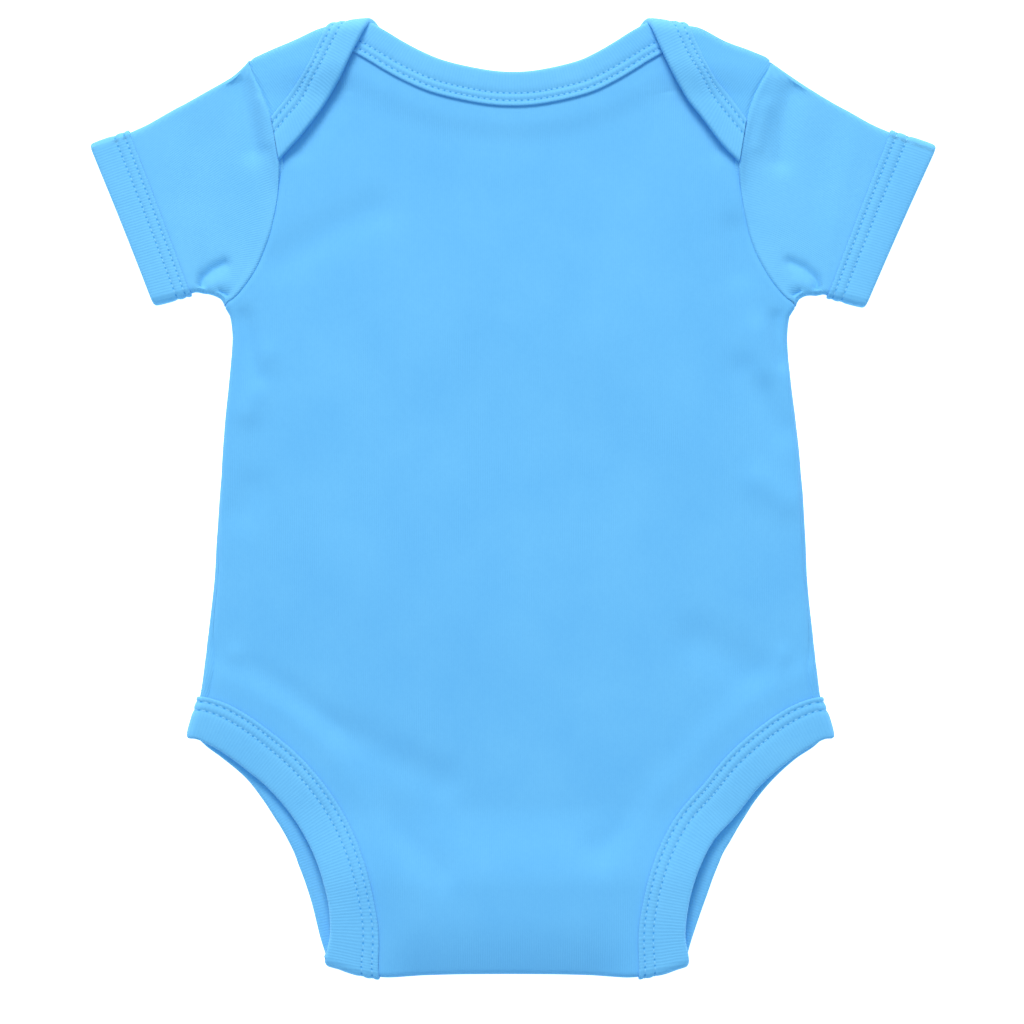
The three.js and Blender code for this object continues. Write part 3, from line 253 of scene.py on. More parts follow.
def back_height(x, y):
    """Height of the back's middle layer: up along seams and bindings, and over the folded tabs."""
    legs = near(back_legs, leg_width + 3, x, y)
    neck = near([back_neck], neck_width, x, y)
    hidden = near([front_neck], neck_width, x, y)
    side = np.where(y > spread, edge_distance(armholes, x, y), edge_distance(sides, x, y))
    seam = 1 - ease((side - 6) / 13)
    height = np.full(np.broadcast(x, y).shape, relaxed)
    for level, share in ((middle, legs), (middle, neck), (seam_level, seam), (over_front_neck, hidden)):
        height = top_of(height, mix(relaxed, level, share))
    # Above the end of the folded tab the back comes down to its usual height in 33 mm
    lift = 1 - ease((y - tab_end - 4) / 33)
    free = 1 - np.max([legs, neck, hidden], axis=0)
    return mix(height, high, lift) + crease_height(creases, x, y) * free


def crotch_dip(x, y):
    """Between the thick leg bindings the cloth sinks towards the crotch fold."""
    depth, start, run, fade = 4.5, -163, 24.5, 20
    between = 1 - near(back_legs, leg_width - 4, x, np.maximum(y, -181), fade)
    return depth * between * np.clip((start - y) / run, 0, 1) ** 2


def front_height(x, y):
    """The front lies on the table, and is held up a little by its bindings and the snaps."""
    legs = near(front_legs, leg_width + 3, x, y)
    shoulder = near(flap_edges, neck_width, x, y, 8) * ease((y - 172) / 6)
    snaps = 1 - ease((y + 152.5) / 13)
    raised = np.max([legs, near([front_neck], neck_width, x, y), shoulder, snaps], axis=0)
    return mix(floor_level, low, raised)


def flap_height(x, y):
    """The flaps lie high along their bindings and come down towards the armholes."""
    rise = mix(7.4, high, ease((y - 156) / 15))
    away = np.min([distance_to(edge, x, y) for edge in flap_edges], axis=0)
    share = np.clip((away - neck_width) / 22, 0, 1)
    return mix(rise, crest, (share + ease(share)) / 2)


# Every fold is a half circle between two layers. Its radius depends on the heights where it starts,
# and those on its radius, so it is settled in a few rounds
rounds = 5
fold_y = np.arange(-205, 190, 0.5)
side_folds = {}
for sign in (-1, 1):
    outermost = column(sides, fold_y, column_of[sign])
    radius = np.full(len(fold_y), 2.0)
    for _ in range(rounds):
        x = outermost - sign * radius
        radius = (back_height(x, fold_y) - front_height(x, fold_y)) / 2
    side_folds[sign] = (x, front_height(x, fold_y) + radius, radius)
fold_x = np.arange(-112, 112, 0.5)
radius = np.full(len(fold_x), 3.0)
for _ in range(rounds):
    y = column(shoulders, fold_x) - radius
    radius = (flap_height(fold_x, y) - front_height(fold_x, y)) / 2
shoulder_folds = (y, front_height(fold_x, y) + radius, radius)
crotch_radius = (high - middle) / 2


def side_fold(sign, y):
    """A side fold's centre line (x, z) and radius at a height of the body."""
    return [np.interp(y, fold_y, values) for values in side_folds[sign]]


def shoulder_fold(x):
    """The shoulder fold's centre line (y, z) and radius."""
    return [np.interp(x, fold_x, values) for values in shoulder_folds]


def crotch_fold(x):
    """The crotch fold's centre line (y); its radius is the same all along."""
    return column(crotch, x) + crotch_radius


def turn_sides(a, q, z, up, under, held):
    """Takes a laid-out panel round both side folds; up is 1 for the back and -1 for the front."""
    x, n = a.copy(), np.zeros(a.shape + (3,))
    n[..., 2] = up
    for sign in (-1, 1):
        fx, fz, r = side_fold(sign, q)
        past = sign * (a - fx)
        angle = np.minimum(past / r, np.pi)
        beyond = np.maximum(past - np.pi * r, 0)
        bent = (past > 0) & held
        x = np.where(bent, fx + sign * (r * np.sin(angle) - beyond), x)
        z = np.where(bent, np.where(beyond > 0, under(x, q), fz + up * r * np.cos(angle)), z)
        n[bent] = np.stack([sign * np.sin(angle), 0 * angle, up * np.cos(angle)], axis=-1)[bent]
    return x, z, n


def on_back(a, q):
    """Where a point of the back, laid out flat as it is cut, comes to lie, and its outward normal."""
    a, q = np.broadcast_arrays(np.asarray(a, float), np.asarray(q, float))
    x, z, n = turn_sides(a, q, back_height(a, q), 1, front_height, True)
    cy = crotch_fold(a)
    over = cy - q
    angle = np.minimum(over / crotch_radius, np.pi)
    beyond = np.maximum(over - np.pi * crotch_radius, 0)
    bent = over > 0
    y = np.where(bent, cy - crotch_radius * np.sin(angle) + beyond, q)
    z = np.where(bent, middle + crotch_radius * (1 + np.cos(angle)), z)
    n[bent] = np.stack([0 * angle, -np.sin(angle), np.cos(angle)], axis=-1)[bent]
    return np.stack([x, y, z - crotch_dip(x, y) * (q < -150)], axis=-1), n


def groove(distance):
    """How far the cloth dips beside a sewn seam."""
    return 0.55 * np.exp(-(distance / 0.9) ** 2)


def over_surface(edge, width, inward, surface):
    """The line this far inward from a laid-out edge, measured over the surface as it lies."""
    small, parts = 0.02, 14

    def slopes(p):
        here = surface(p[:, 0], p[:, 1])[0]
        return [(surface(p[:, 0] + dx, p[:, 1] + dy)[0] - here) / small
                for dx, dy in ((small, 0), (0, small))]
    at, (ja, jq) = edge.copy(), slopes(edge)
    ahead = np.gradient(edge, axis=0)
    along = ja * ahead[:, :1] + jq * ahead[:, 1:]
    along /= np.linalg.norm(along, axis=1)[:, None]
    heading = (jq * ahead[:, :1] - ja * ahead[:, 1:]) * inward
    heading -= along * np.sum(along * heading, axis=1)[:, None]
    for _ in range(parts):
        aa, ab, bb = np.sum(ja * ja, axis=1), np.sum(ja * jq, axis=1), np.sum(jq * jq, axis=1)
        ha, hb = np.sum(ja * heading, axis=1), np.sum(jq * heading, axis=1)
        step = np.stack([ha * bb - hb * ab, hb * aa - ha * ab], axis=1)
        heading = ja * step[:, :1] + jq * step[:, 1:]
        size = np.linalg.norm(heading, axis=1)[:, None]
        at, heading = at + step / size * np.reshape(width, (-1, 1)) / parts, heading / size
        ja, jq = slopes(at)
    return at


def lay(points):
    """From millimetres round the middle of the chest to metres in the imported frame."""
    return (np.asarray(points, float) + chest) / 1000


def node(tree, kind, inputs=(), **settings):
    """Adds a shader node; each input is a value or another node's output."""
    made = tree.nodes.new("ShaderNode" + kind)
    for key, value in settings.items():
        setattr(made, key, value)
    for key, value in dict(inputs).items():
        if isinstance(value, bpy.types.NodeSocket):
            tree.links.new(value, made.inputs[key])
        else:
            made.inputs[key].default_value = value
    return made


def noise(tree, where, scale, detail, roughness=0.5):
    return node(tree, "TexNoise", {"Vector": where, "Scale": scale, "Detail": detail,
                                   "Roughness": roughness}).outputs["Fac"]


def remap(tree, value, start, end, low=0.0, high=1.0, **settings):
    """A value that goes from low to high while the given one goes from start to end."""
    return node(tree, "MapRange", {"Value": value, "From Min": start, "From Max": end, "To Min": low,
                                   "To Max": high}, **settings).outputs["Result"]


def blended(tree, share, a, b):
    return node(tree, "Mix", {"Factor": share, "A": a, "B": b}, data_type="RGBA").outputs["Result"]


def maths(tree, operation, *values):
    return node(tree, "Math", dict(enumerate(values)), operation=operation).outputs[0]


def shade(colour, factor):
    return tuple(c * f for c, f in zip(colour, factor)) + (1,)


stitch_pitch = 2.1


def knit_material(name, colour, pitch_mm, relief, wale_valley_shade, rows=()):
    """Cotton knit: wales along the second coordinate of the map, with painted shade in their valleys, fuzz,
    and stitch holes in two rows, darkened with painted shade.
    """
    material = bpy.data.materials.new(name)
    material.use_nodes = True
    tree = material.node_tree
    shader = tree.nodes["Principled BSDF"]
    for socket, value in (("Roughness", 0.95), ("Specular IOR Level", 0.15), ("Sheen Weight", 0.12),
                          ("Sheen Roughness", 0.6)):
        shader.inputs[socket].default_value = value
    where = node(tree, "UVMap", uv_map="UVMap").outputs["UV"]
    place = node(tree, "TexCoord").outputs["Object"]
    wales = node(tree, "TexWave", {"Vector": where, "Scale": math.pi / 10 / pitch_mm, "Distortion": 1.6,
                                   "Detail": 2.0, "Detail Scale": 0.35, "Detail Roughness": 0.5},
                 bands_direction="X").outputs["Fac"]
    patches = remap(tree, noise(tree, place, 34.0, 3.0, 0.55), 0.3, 0.7)
    surface = blended(tree, patches, shade(colour, (0.94, 0.97, 0.985)), shade(colour, (1.05, 1.03, 1.01)))
    # Painted shade: the valleys between the wales are coloured darker and bluer, as if shade lay in them.
    painted_valley_shade = remap(tree, wales, 0.0, 0.6, wale_valley_shade, 0.0)
    surface = blended(tree, painted_valley_shade, surface, shade(colour, (0.45, 0.7, 0.86)))
    loops = remap(tree, noise(tree, place, 700.0, 2.0), 0.35, 0.65, 0.06, 0.0)
    surface = blended(tree, loops, surface, shade(colour, (0.4, 0.65, 0.85)))
    height = maths(tree, "ADD", wales, noise(tree, place, 2600.0, 3.0, 0.6))
    if rows:
        along, across = node(tree, "SeparateXYZ", {"Vector": where}).outputs[:2]
        turn = maths(tree, "MULTIPLY", along, 2 * math.pi / stitch_pitch)
        between = remap(tree, maths(tree, "COSINE", turn), -0.3, -0.95)
        dots = []
        for row in rows:
            off = maths(tree, "ABSOLUTE", maths(tree, "SUBTRACT", across, row))
            beside = remap(tree, off, 0.15, 0.48, 1.0, 0.0, interpolation_type="SMOOTHSTEP")
            dots.append(maths(tree, "MULTIPLY", beside, between))
        # Painted shade: the stitch holes are coloured darker and bluer. The same mask also sinks the bump
        # there.
        hole_dip_and_painted_shade = maths(tree, "MAXIMUM", *dots)
        surface = blended(tree, hole_dip_and_painted_shade, surface, shade(colour, (0.33, 0.63, 0.84)))
        height = maths(tree, "SUBTRACT", height, hole_dip_and_painted_shade)
    bump = node(tree, "Bump", {"Height": height, "Strength": 0.7, "Distance": relief / 1000})
    tree.links.new(surface, shader.inputs["Base Color"])
    tree.links.new(bump.outputs["Normal"], shader.inputs["Normal"])
    return material


body_blue = (0.150, 0.515, 0.930)
interlock_pitch, rib_pitch = 0.87, 1.1
interlock = knit_material("cotton_interlock", body_blue, interlock_pitch, 0.05, 0.09)
# The flaps' knit gets stronger painted shade in its wale valleys.
flap_knit = knit_material("cotton_interlock_on_the_bias", body_blue, interlock_pitch, 0.09, 0.16)


def finish_piece(piece):
    """Applies the piece's modifiers and smooths its shading."""
    bpy.ops.object.select_all(action="DESELECT")
    piece.select_set(True)
    bpy.context.view_layer.objects.active = piece
    for modifier in list(piece.modifiers):
        bpy.ops.object.modifier_apply(modifier=modifier.name)
    bpy.ops.object.shade_smooth_by_angle(angle=math.radians(50))


def sewn_piece(name, vertices, faces, uvs=None, wall=0.0):
    """A piece from its corner points; with a wall it is one layer of cloth, without one a closed body."""
    mesh = bpy.data.meshes.new(name)
    mesh.from_pydata(lay(vertices).tolist(), [], faces)
    if uvs is not None:
        layer = mesh.uv_layers.new(name="UVMap")
        corners = np.zeros(len(mesh.loops), np.int32)
        mesh.loops.foreach_get("vertex_index", corners)
        layer.data.foreach_set("uv", np.array(uvs, np.float32).reshape(-1, 2)[corners].ravel())
    shape = bmesh.new()
    shape.from_mesh(mesh)
    if wall:
        bmesh.ops.remove_doubles(shape, verts=shape.verts, dist=2e-6)
        bmesh.ops.dissolve_degenerate(shape, edges=shape.edges, dist=1e-6)
    else:
        bmesh.ops.recalc_face_normals(shape, faces=shape.faces)
    shape.to_mesh(mesh)
    shape.free()
    piece = bpy.data.objects.new(name, mesh)
    bpy.context.scene.collection.objects.link(piece)
    if wall:
        layers = piece.modifiers.new("wall", "SOLIDIFY")
        layers.thickness, layers.offset = wall / 1000, 0
    finish_piece(piece)
    return piece


def quads(index):
    """The faces between neighbouring rows of a table of corner numbers."""
    corners = [index[:-1, :-1], index[:-1, 1:], index[1:, 1:], index[1:, :-1]]
    return np.stack(corners, axis=-1).reshape(-1, 4).tolist()


def sheet_piece(name, grids):
    """A thin closed shell on grids of middle points; each grid is (points, uv)."""
    vertices, faces, uvs = [], [], []
    for points, uv in grids:
        rows, cols = points.shape[:2]
        faces += quads(np.arange(rows * cols).reshape(rows, cols) + len(vertices))
        vertices += points.reshape(-1, 3).tolist()
        uvs += uv.reshape(-1, 2).tolist()
    return sewn_piece(name, vertices, faces, uvs, cloth)


def tucked(line, width, inward):
    """Where a panel's edge ends inside a binding."""
    return moved(line, inward * (width - tuck))


def leg_path(sign):
    """A leg opening as the back is laid out, from the tab's end round to the front tab's end."""
    which = column_of[sign]
    points = []
    for row in leg_tab:
        cy = crotch_fold(row[which])
        points.append((row[which], 2 * cy - np.pi * crotch_radius - row[0]))
    points += side_of(leg_back, which)
    fx, _, r = side_fold(sign, -95)
    points += [(fx + sign * np.pi * r * share, -94.6) for share in (0, 0.5, 1)]
    for row in leg_front[::-1]:
        fx, _, r = side_fold(sign, row[0])
        points.append((2 * fx + sign * np.pi * r - row[which], row[0]))
    return smooth_line(points, 1400)


leg_paths = {sign: leg_path(sign) for sign in (-1, 1)}
leg_tucks = {sign: tucked(leg_paths[sign], leg_width, sign) for sign in (-1, 1)}


def cut_edge(sign, q, seam, opening):
    """A panel's edge at each row: along the leg opening, then the side seam, then the armhole."""
    up_rows = np.maximum.accumulate(opening[:, 1])
    leg = np.interp(q, up_rows + np.arange(len(up_rows)) * 1e-9, opening[:, 0])
    leg = np.maximum(seam, leg) if sign < 0 else np.minimum(seam, leg)
    hole = column(armholes, np.maximum(q, spread), column_of[sign]) - sign * gap / 2
    edge = np.where(q >= hip_tuck, seam, leg)
    return np.where(q > armpit, mix(seam, hole, np.clip((q - armpit) / (spread - armpit), 0, 1)), edge)


def back_edge(sign, q):
    fx, _, r = side_fold(sign, q)
    seam = fx + sign * (np.pi / 2 * r - column(side_seams, q, column_of[sign]) - gap / 2)
    return cut_edge(sign, q, seam, leg_tucks[sign][:int(len(leg_tucks[sign]) * 0.6)])


def steps(*spans):
    """Row places: each span is (from, to, spacing)."""
    rows = [np.linspace(a, b, max(1, round(abs(b - a) / d)) + 1)[:-1] for a, b, d in spans]
    return np.concatenate(rows + [[spans[-1][1]]])


def spaced(count):
    """Shares across a row of a panel, closer together near both edges."""
    outer = np.linspace(0, 13.0, 15) / 230.0
    inner = np.linspace(outer[-1], 1 - outer[-1], count + 1)[1:-1]
    return np.concatenate([outer, inner, 1 - outer[::-1]])


def knit_uv(a, q, turn=0.0):
    """Wales of the knit run along the second coordinate; in millimetres."""
    c, s = math.cos(turn), math.sin(turn)
    return np.stack([a * c - q * s, a * s + q * c], axis=-1)


def body_grid(levels, edge, surface):
    """A panel from its tab up to the neckline, with a groove along both side seams."""
    left, right = edge(-1, levels)[:, None], edge(1, levels)[:, None]
    a = mix(left, right, shares[None, :])
    q = np.broadcast_to(levels[:, None], a.shape)
    points, normals = surface(a, q)
    points -= normals * (groove(np.minimum(a - left, right - a)) * ease((q - hip_tuck) / 4))[..., None]
    return points, knit_uv(a, q), a[-1]


def shoulder_shares(sign, row):
    """How the last row across the chest goes on over one shoulder, and where it ends inwards."""
    first = row[:half + 1] if sign < 0 else row[half:][::-1]
    return (first - first[0]) / (first[-1] - first[0]), first[-1]


def facing(sign, points, uv):
    """Both shoulders' grids run the same way round, so that their faces point outwards."""
    return (points, uv) if sign < 0 else (points[:, ::-1], uv[:, ::-1])


tab_foot = -219.03               # the back tab's end, laid out
back_line = tucked(back_neck, neck_width, -1)
back_split = back_line[:, 1].min()
shares = spaced(84)
half = len(shares) // 2
points, uv, last_row = body_grid(
    steps((tab_foot, -192, 1.6), (-192, -178, 0.75), (-178, -104, 1.6), (-104, -80, 1.0),
          (-80, 74, 2.2), (74, 81, 0.7), (81, back_split, 1.9)), back_edge, on_back)
back_grids = [(points, uv)]
for sign in (-1, 1):
    share, first_neck = shoulder_shares(sign, last_row)
    rows = []
    for step in np.linspace(0, 1, 14):
        def along(x):
            return mix(back_split, column(shoulders, x) - 6.5, step)
        hole = column(armholes, along(sign * 100.0), column_of[sign]) - sign * gap / 2
        probe = np.linspace(hole, centre, 4000)
        inside = along(probe) > np.interp(probe, back_line[:, 0], back_line[:, 1])
        x = mix(hole, first_neck if step == 0 else probe[np.argmax(inside)], share)
        rows.append(np.stack([x, along(x)], axis=-1))
    rows = np.array(rows)
    points, normals = on_back(rows[..., 0], rows[..., 1])
    points[..., 2] -= groove(np.abs(rows[..., 0] - rows[:, :1, 0]))
    back_grids.append(facing(sign, points, knit_uv(rows[..., 0], rows[..., 1])))
back_panel = sheet_piece("back_cloth", back_grids)
back_panel.data.materials.append(interlock)
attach(back_panel, "root")
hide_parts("back_panel")

# ------------------------------------------------------------------ the front
# The front is cut in one with two long shoulder flaps. It lies flat underneath; at each shoulder
# it turns over the back, and its flap crosses the back neckline and ends at the armhole.


def on_front(a, q):
    """Where a point of the laid-out front comes to lie, and its outward normal."""
    a, q = np.broadcast_arrays(np.asarray(a, float), np.asarray(q, float))
    x, z, n = turn_sides(a, q, front_height(a, q), -1, back_height, q < spread + 3)
    fy, fz, r = shoulder_fold(a)
    over = q - fy
    angle = np.minimum(over / r, np.pi)
    beyond = np.maximum(over - np.pi * r, 0)
    bent = over > 0
    y = np.where(bent, fy + r * np.sin(angle) - beyond, q)
    z = np.where(bent, np.where(beyond > 0, flap_height(a, y), fz - r * np.cos(angle)), z)
    n[bent] = np.stack([0 * angle, np.sin(angle), -np.cos(angle)], axis=-1)[bent]
    return np.stack([x, y, z], axis=-1), n


def free_edge():
    """The front's free edge laid out: flap tip, shoulder, neckline, shoulder, flap tip."""
    def unfold(x, y, turn=np.pi):
        fy, _, r = shoulder_fold(x)
        return x, fy + turn * r + (0 if turn < np.pi else fy - y)
    points = [unfold(*p) for p in left_flap[:5]] + [unfold(-55.2, 0, np.pi / 2)] + front_neckline
    points += [unfold(51.6, 0, np.pi / 2)] + [unfold(*p) for p in right_flap[:5][::-1]]
    return smooth_line(points, 1400)


def front_edge(sign, q):
    fx, _, r = side_fold(sign, q)
    seam = fx + sign * (np.pi / 2 * r + column(side_seams, q, column_of[sign]) - gap / 2)
    opening = leg_tucks[sign][len(leg_tucks[sign]) // 2:]
    fx, _, r = side_fold(sign, opening[:, 1])
    opening = np.stack([2 * fx + sign * np.pi * r - opening[:, 0], opening[:, 1]], axis=1)
    return cut_edge(sign, q, seam, opening[::-1])


front_end = -180.0               # y of the front tab's end, just short of the crotch fold
shoulder_point = 168.0           # y where the armholes cross the shoulder folds
neck_path = free_edge()
front_line = tucked(neck_path, neck_width, -1)
front_split = front_line[:, 1].min()
points, uv, last_row = body_grid(
    steps((front_end, -104, 1.8), (-104, -80, 1.0), (-80, 74, 2.4), (74, 81, 0.7),
          (81, front_split, 1.9)), front_edge, on_front)
front_grids = [(points, uv)]
# Each shoulder's rows: up to the fold, round it, and down the flap to its tip
below_fold, round_fold, on_flap = 0, 1, 2
places = [(below_fold, s) for s in np.linspace(0, 1, 22)]
places += [(round_fold, s) for s in np.linspace(0, 1, 11)[1:]]
places += [(on_flap, s) for s in np.linspace(0, 0.97, 32)[1:]]
for sign, tip in ((-1, left_flap[0]), (1, right_flap[0])):
    share, first_neck = shoulder_shares(sign, last_row)
    reach = shoulder_fold(tip[0])[0] - tip[1]
    rows, turned = [], []
    for part, s in places:
        def along(x):
            fy, _, r = shoulder_fold(x)
            return (mix(front_split, fy, s), fy + np.pi * r * s, fy + np.pi * r + reach * s)[part]
        hole = sign * 98.0           # a first guess, as the fold's place depends on it
        for _ in range(14):
            y = (along(hole), shoulder_point, shoulder_fold(hole)[0] - reach * s)[part]
            hole = column(armholes, y, column_of[sign])
        hole = hole - sign * gap / 2
        probe = np.linspace(hole, centre, 4000)
        inside = along(probe) > np.interp(probe, front_line[:, 0], front_line[:, 1])
        x = mix(hole, first_neck if (part, s) == (below_fold, 0) else probe[np.argmax(inside)], share)
        rows.append(np.stack([x, along(x)], axis=-1))
        turned.append(part != below_fold)
    rows, turned = np.array(rows), np.array(turned)[:, None, None]
    points, normals = on_front(rows[..., 0], rows[..., 1])
    points -= normals * groove(np.abs(rows[..., 0] - rows[:, :1, 0]))[..., None]
    uv = np.where(turned, knit_uv(points[..., 0], points[..., 1], sign * math.radians(35)),
                  knit_uv(rows[..., 0], rows[..., 1]))
    front_grids.append(facing(sign, points, uv))
front_panel = sheet_piece("front_cloth", [(p[:, ::-1], uv[:, ::-1]) for p, uv in front_grids])
front_panel.data.materials.append(flap_knit)
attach(front_panel, "root")
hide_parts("front_panel")

# ------------------------------------------------------------------ the sleeves
# Each short sleeve is one piece of interlock, sewn into a tube and set into the armhole. It lies
# flattened, with an underarm fold, and its seam allowance makes a soft ridge at the armhole.
# share of the length; x and y of the top fold; x and y of the underarm fold
sleeves = {-1: [(0, -104.5, 171.2, -113.4, 75.2), (0.12, -109.6, 166.8, -114.9, 77.6),
                (0.35, -120, 160.6, -118.5, 79.6), (0.65, -133.6, 153, -122, 80.2),
                (1, -151.6, 144.7, -126.6, 79)],
           1: [(0, 102.9, 171.4, 110.8, 75.2), (0.12, 108.2, 167.3, 112.3, 77.6),
               (0.35, 118.6, 160.2, 115.4, 79.4), (0.65, 131.4, 152.6, 119.4, 79.4),
               (1, 148.8, 144.8, 123.2, 78.2)]}
# x and y of the top fold, x and y of the underarm fold, at the cuff's outer edge
cuffs = {-1: (-166.8, 139.2, -141.2, 75.2), 1: (166.6, 138.7, 138, 74.4)}
cuff_width = 15.0
armhole_top = 165.0              # y where the armhole's edge starts to turn over the shoulder
sleeve_creases = {
    -1: [([(-107, 162), (-104.4, 150), (-102.2, 137)], 4.8, -1.9), ([(-99.2, 156), (-96.8, 140)], 2.4, 0.8),
         ([(-113.6, 91.8), (-117.6, 90), (-121.9, 86.3), (-123.4, 83), (-122.8, 79.5)], 2.2, -2.0),
         ([(-113.5, 84.6), (-118.4, 84)], 2.6, 0.6), ([(-115.6, 80.6), (-112.4, 79.6)], 1.5, -1.2),
         ([(-140, 130), (-135, 104)], 8, 0.5), ([(-121, 140), (-126, 118)], 9, -0.5)],
    1: [([(109, 159), (106.4, 146), (105, 133)], 4.8, -1.9), ([(99, 154), (95, 138)], 2.4, 0.7),
        ([(108.6, 92.6), (114.4, 90), (118.6, 86), (119.8, 82.6), (119.2, 79.5)], 2.1, -1.7),
        ([(111, 84.6), (115.6, 84)], 2.6, 0.6), ([(112.6, 80.6), (110, 79.6)], 1.5, -1.2),
        ([(138, 128), (132, 102)], 8, 0.5), ([(120, 138), (124, 116)], 9, -0.5)]}
flat_steps, bend_steps = 60, 8


def flat_ring(ends, low_z, high_z, inset, bow, drop):
    """A flattened tube's ring: over it, round the underarm fold, back, and round the top fold."""
    top, under = np.array(ends[:2], float), np.array(ends[2:], float)
    length = np.linalg.norm(under - top)
    d = (under - top) / length
    r = (high_z - low_z) / 2
    run = np.linspace(r + inset, length - r - inset, flat_steps + 1)
    angle = np.linspace(0, np.pi, bend_steps + 1)[1:-1]
    flat, turn = 0 * run, angle[::-1]
    place = np.concatenate([run, 0 * angle + run[-1], run[::-1], 0 * angle + run[0]])
    out = np.concatenate([flat, np.sin(angle), flat, -np.sin(turn)])
    up = np.concatenate([flat + 1, np.cos(angle), flat - 1, np.cos(turn)])
    z = low_z + r + r * up
    z[:flat_steps + 1] += drop(run / length)
    xy = top + d * (place + r * out)[:, None]
    xy[:, 0] += bow(np.clip(place / length, 0, 1))
    normals = np.concatenate([d * out[:, None], up[:, None]], axis=1)
    return np.concatenate([xy, z[:, None]], axis=1), normals


def armhole_ring(sign):
    """The sleeve's first ring, a seam's gap outside the edges of both panels."""
    which = column_of[sign]
    y = np.linspace(armhole_top, spread + 0.6, flat_steps + 1)
    clear = gap / 2 + 0.05
    slope = column(armholes, y + 0.5, which) - column(armholes, y - 0.5, which)
    size = np.hypot(1, slope)
    hole = column(armholes, y, which)
    x, seam_y = hole + sign * clear / size, y - sign * clear * slope / size
    upper = mix(back_height(hole, y), flap_height(hole, y), ease((y - 118) / 18))
    fx, fz, r = side_fold(sign, armpit)
    fy, sz, sr = shoulder_fold(sign * 103.5)
    angle = np.linspace(0, np.pi, bend_steps + 1)[1:-1]
    back = angle[::-1]
    # Round the underarm the ring follows the notch in which the side seam ends
    notch = armpit + 0.35 + (spread - armpit) * np.abs(1 - 2 * angle / np.pi)
    hole_top = column(armholes, shoulder_point, which) + sign * clear
    return np.concatenate([
        np.stack([x, seam_y, upper], axis=1),
        np.stack([fx + sign * r * np.sin(angle), notch, fz + r * np.cos(angle)], axis=1),
        np.stack([x, seam_y, front_height(hole, y)], axis=1)[::-1],
        np.stack([hole_top + 0 * back, fy + sr * np.sin(back), sz + sr * np.cos(back)], axis=1)])


def sleeve_ring(sign, share, inset, ends=None):
    """A ring of the sleeve at this share of its length; it thins out to lie inside the cuff."""
    rows = sleeves[sign]
    ends = ends or [column(rows, share, k) for k in (1, 2, 3, 4)]
    first = rows[0]
    thinned = ease((share - 0.55) / 0.25)
    low_z, high_z = mix(floor_level, low, thinned), mix(crest - 0.6, middle, thinned)

    def bow(run):
        y = np.clip(mix(first[2], first[4], run), spread, armhole_top)
        curved = column(armholes, y, column_of[sign]) - mix(first[1], first[3], run)
        hollow = -sign * 0.3 * np.sin(np.pi * run) * ease((share - 0.8) / 0.2)
        return (1 - share) ** 1.5 * curved * np.sin(np.pi * run) ** 0.5 + hollow

    def drop(run):
        return -0.9 * np.sin(np.pi * run) * np.sin(np.pi * min(1, share * 1.35)) * (share < 0.74)
    return flat_ring(ends, low_z, high_z, inset, bow, drop)


sleeve_length = 44.0
round_ends = 1.8                 # how far the hem's folds are let in, so that the cuff goes round them
over = slice(0, flat_steps + 1)  # the part of a ring that lies uppermost
sleeve_knit = knit_material("sleeve_interlock", (0.168, 0.545, 0.945), interlock_pitch, 0.07, 0.12)
for sign, side in ((-1, "left"), (1, "right")):
    hem = [mix(sleeves[sign][-1][k + 1], cuffs[sign][k], tuck / cuff_width) for k in range(4)]
    # Two rings turned in at the armhole seam, the sleeve itself, and its edge inside the cuff
    rings = []
    for inset, sink in ((1.8, 1.2), (0.1, 0.9)):
        turned_in = armhole_ring(sign)
        turned_in[over] += (-sign * inset, 0, -sink - 0.55)
        rings.append(turned_in)
    for share in np.concatenate([np.linspace(0, 0.2, 13), np.linspace(0.2, 1, 34)[1:]]):
        ring, _ = sleeve_ring(sign, share, mix(0.5, round_ends, ease((share - 0.6) / 0.3)))
        ring = mix(armhole_ring(sign), ring, ease(share / 0.17))
        free = (1 - ease((share - 0.68) / 0.2)) * ease(share / 0.05)
        ring[over, 2] += crease_height(sleeve_creases[sign], ring[over, 0], ring[over, 1]) * free
        # The seam allowance underneath makes a low ridge beside the armhole's groove
        ring[over, 2] += 0.35 * math.exp(-((share - 0.045) / 0.03) ** 2) - groove(share * 40)
        rings.append(ring)
    rings.append(sleeve_ring(sign, 1, round_ends, hem)[0])
    rings = np.array(rings)
    rings = np.concatenate([rings, rings[:, :1]], axis=1)
    around = run_along(rings[20])
    down = np.linspace(0, sleeve_length, len(rings))
    uv = knit_uv(*np.broadcast_arrays(around[None, :], down[:, None]), math.radians(22))
    piece = sheet_piece(f"sleeve_cloth_{side}", [facing(-sign, rings, uv)])
    piece.data.materials.append(sleeve_knit)
    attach(piece, "root")
    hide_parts(f"sleeve_{side}")

# ------------------------------------------------------------------ the leg bindings
# A strip of 1 x 1 rib is folded over the raw edge of each leg opening and fixed with two rows of
# stitches. It runs from the back tab round the crotch fold and the hip to the end of the front tab.
rib = 1.7                        # half the thickness of a folded binding
slot = 0.8                       # half the room for the panel's edge


